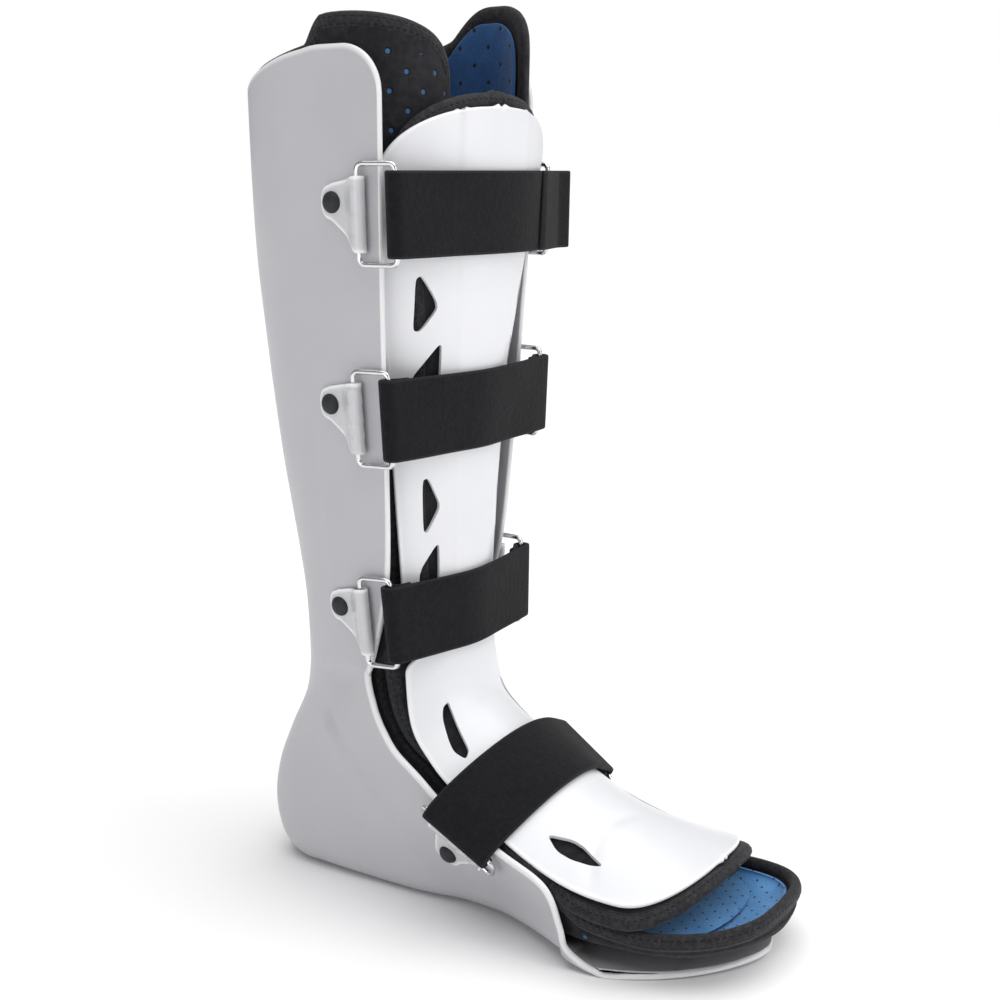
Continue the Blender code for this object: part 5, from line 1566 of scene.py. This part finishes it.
# %% Straps, rings and tabs: sizes
STRAP_WALL = 0.0024
STRAP_LIFT = 0.0010  # air between a strap and the plate at its tightest
RING_WIRE = 0.0024
RING_CLEAR = 0.0009  # air round the wire inside a strap's or a tab's fold
RING_SIDE = 0.0017  # air between the strap's edges and the ring's short ends
RING_ROUND = 0.0026
RING_TURN = 0.0035  # most that a ring's front bar is nearer to the middle than its rear bar
TAB_WALL = 0.0013
LEG_TAB_ROOM = 0.0005  # air between a tab and the shell
FOOT_TAB_ROOM = 0.0014
TAB_RISE = 0.005  # the tab's riveted end is higher than its ring
TAB_LENGTH = 0.022  # from the ring's rear bar to the tab's round end
TAB_END_HALF = 0.007
RIVET_RADIUS = 0.0048
RIVET_HEIGHT = 0.0024
FLAP_START = 0.55  # where it lies on the strap, as shares of the way from the middle to the ring
FLAP_LIFT = 0.001
LEAN_START = 0.35  # where a strap stops following the front line's lean, as shares of the same way
LEAN_RUN = 0.50
TAB_TUCK = 0.0025  # the tab's end under the ring's bar
RIVET_BACK = 0.74  # from the bar to the rivet, as a share of TAB_LENGTH
TAIL_LENGTH = 0.011  # the strap's end sewn under itself past each ring
STRAP_ROWS = {
    "1": {"rise": 0.810, "bar_back": 0.085, "run": 0.130, "inner_ahead": 0.000, "room": LEG_TAB_ROOM},
    "2": {"rise": 0.465, "bar_back": 0.088, "run": 0.125, "inner_ahead": 0.050, "room": LEG_TAB_ROOM},
    "3": {"rise": 0.095, "bar_back": 0.095, "run": 0.115, "inner_ahead": 0.055, "room": LEG_TAB_ROOM},
    "4": {"along": 0.430, "bar_back": 0.215, "run": 0.075, "inner_ahead": 0.050, "room": FOOT_TAB_ROOM},
}
FLAP_REACH = 0.009  # the free end of the top strap past its ring
TAB_TAPER = 0.82  # share of the tab's length that narrows before its round end
SIDE_PLACES = np.linspace(0, 0.82, 170)
SIDE_WAYS = np.linspace(TURN_SHARE - 0.1, 1, 24)


def side_point(place, way):
    """A point of the shell's outer side."""
    return toe_bend(wall_points(SHELL_TABLE, place, way))


SHELL_SIDE = side_point(SIDE_PLACES[:, None], SIDE_WAYS[None, :]).reshape(-1, 3)


def nearest(y, z):
    """Which of the points of the shell's side is nearest to each of these places, seen from the side."""
    away = (SHELL_SIDE[:, 1] - np.reshape(y, (-1, 1))) ** 2 + (SHELL_SIDE[:, 2] - np.reshape(z, (-1, 1))) ** 2
    return np.argmin(away, axis=1)


def shell_side(y, z):
    """Half the shell's width at these places on its side: from the nearest sample, three of Newton's steps
    in the two parameters bring y and z to the place asked for."""
    found = nearest(y, z)
    place = SIDE_PLACES[found // len(SIDE_WAYS)]
    way = SIDE_WAYS[found % len(SIDE_WAYS)]
    goal = np.stack((np.ravel(y), np.ravel(z)), axis=1)
    small = 1e-4
    for _ in range(3):
        here = side_point(place, way)
        down = (side_point(place + small, way) - here) / small
        ahead = (side_point(place, way + small) - here) / small
        miss = goal - here[:, 1:]
        area = down[:, 1] * ahead[:, 2] - down[:, 2] * ahead[:, 1]
        area = np.where(np.abs(area) < 1e-9, 1e-9, area)
        place_step = (miss[:, 0] * ahead[:, 2] - miss[:, 1] * ahead[:, 1]) / area
        way_step = (miss[:, 1] * down[:, 1] - miss[:, 0] * down[:, 2]) / area
        place = np.clip(place + np.clip(place_step, -0.01, 0.01), 0, 0.95)
        way = np.clip(way + np.clip(way_step, -0.03, 0.03), 0.05, 1.0)
    return side_point(place, way)[:, 0].reshape(np.shape(y))

# %% A strap's own plane


class StrapPlace:
    """A strap's own coordinates: x across, out from the front line, width along it downwards. Everything
    widens along the width as the shell does where the strap's tabs sit. Each side's ring has a front bar
    and a rear bar, given by out and x."""

    def __init__(self, row):
        self.along = along_at(row["rise"]) if "rise" in row else foot_along(row["along"])
        y, z, tilt = (front_column(self.along, column) for column in range(3))
        self.middle = np.array((y, z))
        self.outward = np.array((-cos(tilt), sin(tilt)))
        self.down = np.array((-self.outward[1], self.outward[0]))
        self.room = row["room"]
        rear = -(row["bar_back"] + row["run"]) * HEEL_REACH
        ends = (-STRAP_WIDTH / 2, STRAP_WIDTH / 2)
        above, below = (float(shell_side(*self.flat(rear, end))) for end in ends)
        self.widening = 2 * (below - above) / ((above + below) * STRAP_WIDTH)
        self.bars = {}
        for side, ahead in ((-1, 0), (1, row["inner_ahead"])):
            front = (ahead - row["bar_back"]) * HEEL_REACH
            rear = front - row["run"] * HEEL_REACH
            self.bars[side] = (front, rear, *self.bar_x(front, rear))

    def flat(self, out, width):
        """y and z of a place in the strap's middle plane."""
        return (
            self.middle[0] + out * self.outward[0] + width * self.down[0],
            self.middle[1] + out * self.outward[1] + width * self.down[1],
        )

    def wall(self, out, width):
        """The shell's side there in strap coordinates, and how far the place is from the shell's nearest."""
        y, z = self.flat(out, width)
        found = SHELL_SIDE[nearest(y, z)]
        return found[:, 0] / (1 + self.widening * width), np.hypot(found[:, 1] - y, found[:, 2] - z)

    def bar_x(self, front, rear):
        """x of the front and rear bars: the rear bar clears the tab under it, and the wire between the two
        clears the shell's front edge."""
        widths = np.linspace(-0.55, 0.55, 9) * STRAP_WIDTH
        rear_x = self.wall(np.full(9, rear), widths)[0].max() + self.room + TAB_WALL
        rear_x = rear_x + RING_CLEAR + RING_WIRE / 2
        front_x = rear_x - RING_TURN
        for share in np.linspace(0.25, 1, 16):
            x, away = self.wall(np.full(9, rear + share * (front - rear)), widths)
            if away.min() < RING_WIRE:
                fold = RING_CLEAR + STRAP_WALL if share == 1 else 0
                need = x[away < RING_WIRE].max() + GAP + RING_WIRE / 2 + fold
                front_x = max(front_x, rear_x + (need - rear_x) / share)
        # Where the shell goes on in front of the bar, the strap's outer side clears it too.
        x, out, width = self.inverse(SHELL_SIDE)
        beside = (np.abs(width) < STRAP_WIDTH / 2) & (out > front)
        if beside.any():
            front_x = max(front_x, x[beside].max() + STRAP_LIFT + GAP - RING_WIRE / 2 - RING_CLEAR)
        return front_x, rear_x

    def points(self, x, out, width):
        y, z = self.flat(out, width)
        return np.stack(np.broadcast_arrays(x * (1 + self.widening * width), y, z), axis=-1)

    def inverse(self, points):
        """Strap coordinates of points of the boot."""
        away = points[..., 1:] - self.middle
        width = away @ self.down
        return points[..., 0] / (1 + self.widening * width), away @ self.outward, width

    def lean(self, x, width):
        """The front line stands out of the strap's middle plane by this much. The strap follows it at its
        middle and stands straight at its rings."""
        near = np.linspace(self.along - STRAP_WIDTH, self.along + STRAP_WIDTH, 80)
        line = np.stack((front_column(near, 0), front_column(near, 1)), axis=1) - self.middle
        share = 1 - swell((np.abs(x) / self.bars[-1][2] - LEAN_START) / LEAN_RUN)
        return np.interp(width, line @ self.down, line @ self.outward) * share

# %% A strap's line


def strap_obstacles(place):
    """What the strap passes over, as x and out: the plates' and the shell's outer faces, grown by half the
    strap's thickness and its air, wherever they lie under the strap's width."""
    grown = STRAP_LIFT + STRAP_WALL / 2
    alongs = np.linspace(place.along - STRAP_WIDTH, place.along + STRAP_WIDTH, 60)
    shares = np.linspace(-1, 1, 61)
    across = front_column(alongs, PLATE_HALF)[:, None] * shares[None, :]
    plate = toe_bend(front_points(np.broadcast_to(alongs[:, None], across.shape), across, grown))
    found = [plate.reshape(-1, 3)]
    for side in (-1, 1):
        for angle in np.radians((0, 30, 60, 90)):
            shift = np.array((cos(angle), *(place.outward * sin(angle)))) * grown
            found.append((SHELL_SIDE + shift) * (side, 1, 1))
    x, out, width = place.inverse(np.vstack(found))
    front = np.where(x < 0, place.bars[-1][0], place.bars[1][0])
    under = (np.abs(width) < STRAP_WIDTH / 2 + STRAP_LIFT) & (out > front)
    x, out, width = x[under], out[under], width[under]
    return x, out - place.lean(x, width)


def upper_hull(x, out):
    """The points of the outer hull, ordered by x."""
    hull = []
    for point in sorted(zip(x.tolist(), out.tolist())):
        while len(hull) > 1:
            (x0, n0), (x1, n1) = hull[-2:]
            if (x1 - x0) * (point[1] - n0) - (n1 - n0) * (point[0] - x0) < 0:
                break
            hull.pop()
        hull.append(point)
    return hull


def thinned(line, spacing):
    """The points of a line at least this far apart, its two ends kept."""
    kept = [line[0]]
    for point in line[1:-1]:
        if np.hypot(point[0] - kept[-1][0], point[1] - kept[-1][1]) > spacing:
            kept.append(point)
    return kept + [line[-1]]


def arc_points(centre, radius, start, end, steps):
    angles = np.radians(np.linspace(start, end, steps))
    return [(centre[0] + radius * cos(a), centre[1] + radius * sin(a)) for a in angles]


STRAP_SPACING = 0.0040
TAIL_BEND = (0.45, 0.30)  # where the sewn end's bend lies, as shares of its length and of its height
FOLD_STEPS = 9


def strap_line(place):
    """The strap's middle line seen end on: from its sewn end round the outer ring's bar, over the plates,
    and round the inner ring's bar to its other sewn end."""
    eye = RING_WIRE / 2 + RING_CLEAR + STRAP_WALL / 2
    hull = np.array(upper_hull(*strap_obstacles(place)))
    ends = []
    for side in (-1, 1):
        bar = np.array((side * place.bars[side][2], place.bars[side][0]))
        away = (hull - bar) * (-side, 1)
        distance = np.hypot(*away.T)
        steep = np.arctan2(away[:, 1], away[:, 0]) - np.arcsin(eye / np.maximum(distance, 1.01 * eye))
        meets = int(np.argmax(steep))
        lean = steep[meets]
        along = np.array((-side * cos(lean), sin(lean)))
        normal = np.array((side * sin(lean), cos(lean)))
        turn = arc_points((0, 0), eye, 90 - np.degrees(lean), -90 - np.degrees(lean), FOLD_STEPS)
        fold = [tuple(bar + (side * px, py)) for px, py in turn]
        tail = eye - STRAP_WALL - GAP
        # Where the strap bends close to its bar there is no room for the sewn end, which stops at the fold.
        if distance[meets] > TAIL_LENGTH:
            fold.append(tuple(bar + along * TAIL_LENGTH * TAIL_BEND[0] + normal * tail * TAIL_BEND[1]))
            fold.append(tuple(bar + along * TAIL_LENGTH + normal * tail))
        ends.append((meets, fold))
    over = thinned([tuple(point) for point in hull[ends[0][0] : ends[1][0] + 1]], STRAP_SPACING)
    return ends[0][1][::-1] + over + ends[1][1]


STRAP_PLACES = {label: StrapPlace(row) for label, row in STRAP_ROWS.items()}
bars = {label: round(place.bars[-1][2], 4) for label, place in STRAP_PLACES.items()}
print("ring bars at", bars)

# %% [markdown]
# ## Straps
#
# The line is drawn with few corners, so it is rounded first: cutting each corner at its quarter points,
# three times over, turns a taut outline into the bend of thick cloth. The section is a thin rectangle with
# soft edges, carried along the line and given the strap's width, where it leans as the shin does.

# %% Strap bodies
STRAP_EDGE = 0.0009
STRAP_SECTION = 19  # points across each face of a strap
FLAP_SUNK = 0.85  # the free end grips the strap below it, so it lies a little into its pile


def cut_corners(line, times=3):
    """Each stretch keeps the points at its quarter and its three quarters. The ends stay."""
    for _ in range(times):
        first = line[:-1] * 0.75 + line[1:] * 0.25
        second = line[:-1] * 0.25 + line[1:] * 0.75
        middle = np.stack((first, second), axis=1).reshape(-1, 2)
        line = np.vstack((line[:1], middle, line[-1:]))
    return line


def evenly(line, spacing):
    """Points at this spacing along a line."""
    along = np.insert(np.cumsum(np.hypot(*np.diff(line, axis=0).T)), 0, 0)
    places = np.linspace(0, along[-1], int(along[-1] / spacing) + 1)
    return np.stack([np.interp(places, along, column) for column in line.T], axis=1)


def strap_section():
    """Round a strap: half thickness as a superellipse of the way across, so that its edges are soft."""
    across = np.sin(np.linspace(-1, 1, STRAP_SECTION) * pi / 2) * STRAP_WIDTH / 2
    from_edge = np.clip((STRAP_WIDTH / 2 - np.abs(across)) / STRAP_EDGE, 0, 1)
    half = STRAP_WALL / 2 * (0.35 + 0.65 * np.sqrt(1 - (1 - from_edge) ** 2))
    width = np.concatenate((across, across[::-1], across[:1]))
    return width, np.concatenate((half, -half[::-1], half[:1]))


def strap_body(place, line, thin_start=0.0):
    """Carries the section along the line: out from the line along its normal, across by the width.
    A thin start grows to the full thickness over that many metres."""
    step = unit(np.gradient(line, axis=0))
    normal = np.stack((-step[:, 1], step[:, 0]), axis=1)
    width, half = strap_section()
    along = np.insert(np.cumsum(np.hypot(*np.diff(line, axis=0).T)), 0, 0)[:, None]
    half = half * (swell(along / thin_start) * 0.8 + 0.2) if thin_start else half[None, :]
    x = line[:, :1] + normal[:, :1] * half
    out = line[:, 1:] + normal[:, 1:] * half
    width = np.broadcast_to(width, x.shape)
    points = place.points(x, out + place.lean(x, width), width)
    caps = [np.broadcast_to(points[end].mean(axis=0), (1, *points.shape[1:])) for end in (0, -1)]
    points = np.concatenate((caps[0], points, caps[1]))
    along = np.insert(np.cumsum(np.hypot(*np.diff(line, axis=0).T)), 0, 0)
    along = np.concatenate((along[:1], along, along[-1:]))[:, None] + np.zeros((1, points.shape[1]))
    pair = np.stack((along, np.broadcast_to(width[0], along.shape)), axis=-1).reshape(-1, 2)
    return points.reshape(-1, 3), grid_faces(*points.shape[:2]), {"weave": pair, "rim": pair}


def build_strap(label):
    place = STRAP_PLACES[label]
    line = evenly(cut_corners(np.array(strap_line(place))), 0.0012)
    mesh = build_mesh(f"strap {label}", *strap_body(place, line))
    return add_piece(f"strap_{label}_cloth", mesh, STRAP_CLOTH, "webbing", f"strap_{label}")


def build_free_end():
    """The free end of the top strap: it lies on the strap and runs straight on past the inner ring."""
    place = STRAP_PLACES["1"]
    line = np.array(strap_line(place))
    fold = int(np.argmax(line[:, 0]))
    bar = place.bars[1][2]
    x = bar * np.linspace(FLAP_START, 1, 12)
    outer = line[FOLD_STEPS + 2 : fold]
    out = np.interp(x, outer[:, 0], outer[:, 1]) + STRAP_WALL * FLAP_SUNK
    end = (bar + FLAP_REACH, out[-1] + FLAP_LIFT)
    path = evenly(cut_corners(np.vstack((np.stack((x, out), axis=1), end))), 0.0012)
    mesh = build_mesh("strap free end", *strap_body(place, path, thin_start=0.004))
    return add_piece("strap_1_free_end", mesh, STRAP_CLOTH, "webbing", "strap_1_flap")


straps = [build_strap(label) for label in STRAP_ROWS] + [build_free_end()]
for piece in straps:
    print(piece.name, len(piece.data.polygons), "faces,", [round(v, 4) for v in piece.dimensions])

# %% [markdown]
# ## Rings, tabs and rivets
#
# Each ring is a rectangle of plated wire. Its rear bar is held by a soft plastic tab, which is folded round
# the bar and fixed to the shell by one domed rivet. A ring is a circle carried round a rectangle with round
# corners. A tab is a strip in the strap's plane that leaves the bar and then lies on the shell's side.

# %% Rings
CORNER_STEPS = 8


def ring_loop(run, half):
    """A rectangle with round corners, as out and width."""
    corners = []
    for first, out_sign, width_sign in ((0, 1, 1), (90, -1, 1), (180, -1, -1), (270, 1, -1)):
        centre = (out_sign * (run - RING_ROUND), width_sign * (half - RING_ROUND))
        corners += arc_points(centre, RING_ROUND, first, first + 90, CORNER_STEPS)
    return np.array(corners)


RING_SPACING = 0.0011


def build_ring(label, side, where):
    place = STRAP_PLACES[label]
    front, rear, front_x, rear_x = place.bars[side]
    half = STRAP_WIDTH / 2 + RING_SIDE + RING_WIRE / 2
    run = (front - rear) / 2
    loop = evenly(np.vstack((ring_loop(run, half), ring_loop(run, half)[:1])), RING_SPACING)[:-1]
    x = np.interp(loop[:, 0], (-run, run), (rear_x, front_x))
    path = place.points(side * x, rear + run + loop[:, 0], loop[:, 1])
    along = unit(np.roll(path, -1, axis=0) - np.roll(path, 1, axis=0))
    flat = unit(np.cross(along, np.array([side, 0, 0])))
    up = unit(np.cross(flat, along))
    mesh = build_mesh("ring", *tube(path, flat, up, RING_WIRE / 2, RING_WIRE / 2, sections=16))
    node = f"ring_{label}_{where}"
    return add_piece("wire_" + node, mesh, RING_WIRE_FINISH, "ring_wire", node)

# %% Tabs
TAB_ROWS = 64
TAB_COLUMNS = 41


def tab_half(back):
    """Half the tab's height: full at the ring, falling to a rounded end past the rivet."""
    full = STRAP_WIDTH / 2 - RING_ROUND
    share = np.clip(back / TAB_LENGTH, 0, 1)
    straight = full + (TAB_END_HALF - full) * np.minimum(share / TAB_TAPER, 1)
    end = np.clip((share - TAB_TAPER) / (1 - TAB_TAPER), 0, 1)
    return straight * np.sqrt(1 - (0.94 * end) ** 2)


def tab_shift(back):
    """The tab's middle rises towards its riveted end."""
    return -TAB_RISE * np.clip(back / (RIVET_BACK * TAB_LENGTH), 0, 1)


def tab_line(place):
    """The tab's middle line in its strap's plane, as metres back from the bar and out from the shell."""
    eye = RING_WIRE / 2 + RING_CLEAR + TAB_WALL / 2
    low = place.room + TAB_WALL / 2
    back = [(share * TAB_LENGTH, low) for share in (1.0, 0.93, 0.80, 0.55, 0.36)]
    over = [(-px, eye + low + py) for px, py in arc_points((0, 0), eye, 120, -90, 14)]
    line = cut_corners(np.array(back + over + [(TAB_TUCK, low)]), 2)
    along = np.insert(np.cumsum(np.hypot(*np.diff(line, axis=0).T)), 0, 0)
    places = along[-1] * (1 - (1 - np.linspace(0, 1, TAB_ROWS)) ** 0.75)
    return np.stack([np.interp(places, along, column) for column in line.T], axis=1), eye + low


def build_tab(label, side, where):
    place = STRAP_PLACES[label]
    _, rear, _, rear_x = place.bars[side]
    line, height = tab_line(place)
    step = unit(np.gradient(line, axis=0))
    normal = np.stack((-step[:, 1], step[:, 0]), axis=1) * TAB_WALL / 2
    across = np.sin(np.linspace(-1, 1, TAB_COLUMNS) * pi / 2)[:, None]
    width = across * tab_half(line[:, 0]) + tab_shift(line[:, 0])
    at_bar = np.clip(1 - line[:, 0] / (0.5 * TAB_LENGTH), 0, 1)
    bar_lift = rear_x - place.wall(np.full(TAB_COLUMNS, rear), across[:, 0] * STRAP_WIDTH / 2)[0] - height
    sheets = []
    for edge in (line + normal, line - normal):
        y, z = place.flat(rear - np.broadcast_to(edge[:, 0], width.shape), width)
        slope_y, slope_z = shell_slopes(y, z)
        grown = np.sqrt(1 + slope_y**2 + slope_z**2) * (1 - at_bar) + at_bar
        x = shell_side(y, z) + edge[:, 1] * grown + bar_lift[:, None] * at_bar
        sheets.append(np.stack((side * x, y, z), axis=-1))
    mesh = build_mesh("tab", *slab(sheets[0], 0, TAB_WALL * 0.3, inner=sheets[1]))
    return add_piece(f"ring_tab_{label}_{where}", mesh, TAB_PLASTIC, "tab_plastic", f"tab_{label}_{where}")


SLOPE_STEP = 0.004  # distance over which the shell's slope is read


def shell_slopes(y, z):
    """How fast the shell's side stands out with y and with z."""
    slope_y = (shell_side(y + SLOPE_STEP, z) - shell_side(y - SLOPE_STEP, z)) / (2 * SLOPE_STEP)
    slope_z = (shell_side(y, z + SLOPE_STEP) - shell_side(y, z - SLOPE_STEP)) / (2 * SLOPE_STEP)
    return slope_y, slope_z

# %% Rivets
RIVET_RINGS = (
    # radius and height, as shares of the rivet's
    (0.00, 1.05), (0.20, 1.03), (0.45, 0.95), (0.68, 0.78), (0.85, 0.52), (0.95, 0.26), (1.00, 0.06),
    (1.00, -0.20), (0.90, -0.30), (0.00, -0.30),
)


RIVET_LIFT = 0.0002
RIVET_SPOKES = 33


def build_rivet(label, side, where):
    """A dome turned about the shell's normal."""
    place = STRAP_PLACES[label]
    rear = place.bars[side][1]
    back = RIVET_BACK * TAB_LENGTH
    y, z = (np.array([float(value)]) for value in place.flat(rear - back, tab_shift(back)))
    slope_y, slope_z = (float(slope[0]) for slope in shell_slopes(y, z))
    normal = unit(np.array([side, -slope_y, -slope_z]))
    base = np.array([side * float(shell_side(y, z)[0]), y[0], z[0]])
    base = base + normal * (place.room + TAB_WALL) + normal * RIVET_LIFT
    first = unit(np.cross(normal, (0, 0, 1.0)))
    second = np.cross(normal, first)
    turn = np.linspace(0, 2 * pi, RIVET_SPOKES)[:, None]
    profile = cut_corners(np.array(RIVET_RINGS), 1) * (RIVET_RADIUS, RIVET_HEIGHT)
    spokes = np.cos(turn) * first + np.sin(turn) * second
    points = base + profile[:, None, :1] * spokes[None] + profile[:, None, 1:] * normal
    pair = np.zeros((points[..., 0].size, 2))
    maps = {"weave": pair, "rim": pair}
    mesh = build_mesh("rivet", points.reshape(-1, 3), grid_faces(*points.shape[:2]), maps)
    node = f"rivet_{label}_{where}"
    return add_piece(f"rivet_head_{label}_{where}", mesh, RIVET_FINISH, "rivet_plastic", node)


hardware = [
    build(label, side, where)
    for label in STRAP_ROWS
    for side, where in ((-1, "near"), (1, "far"))
    for build in (build_ring, build_tab, build_rivet)
]
print(len(hardware), "rings, tabs and rivets")
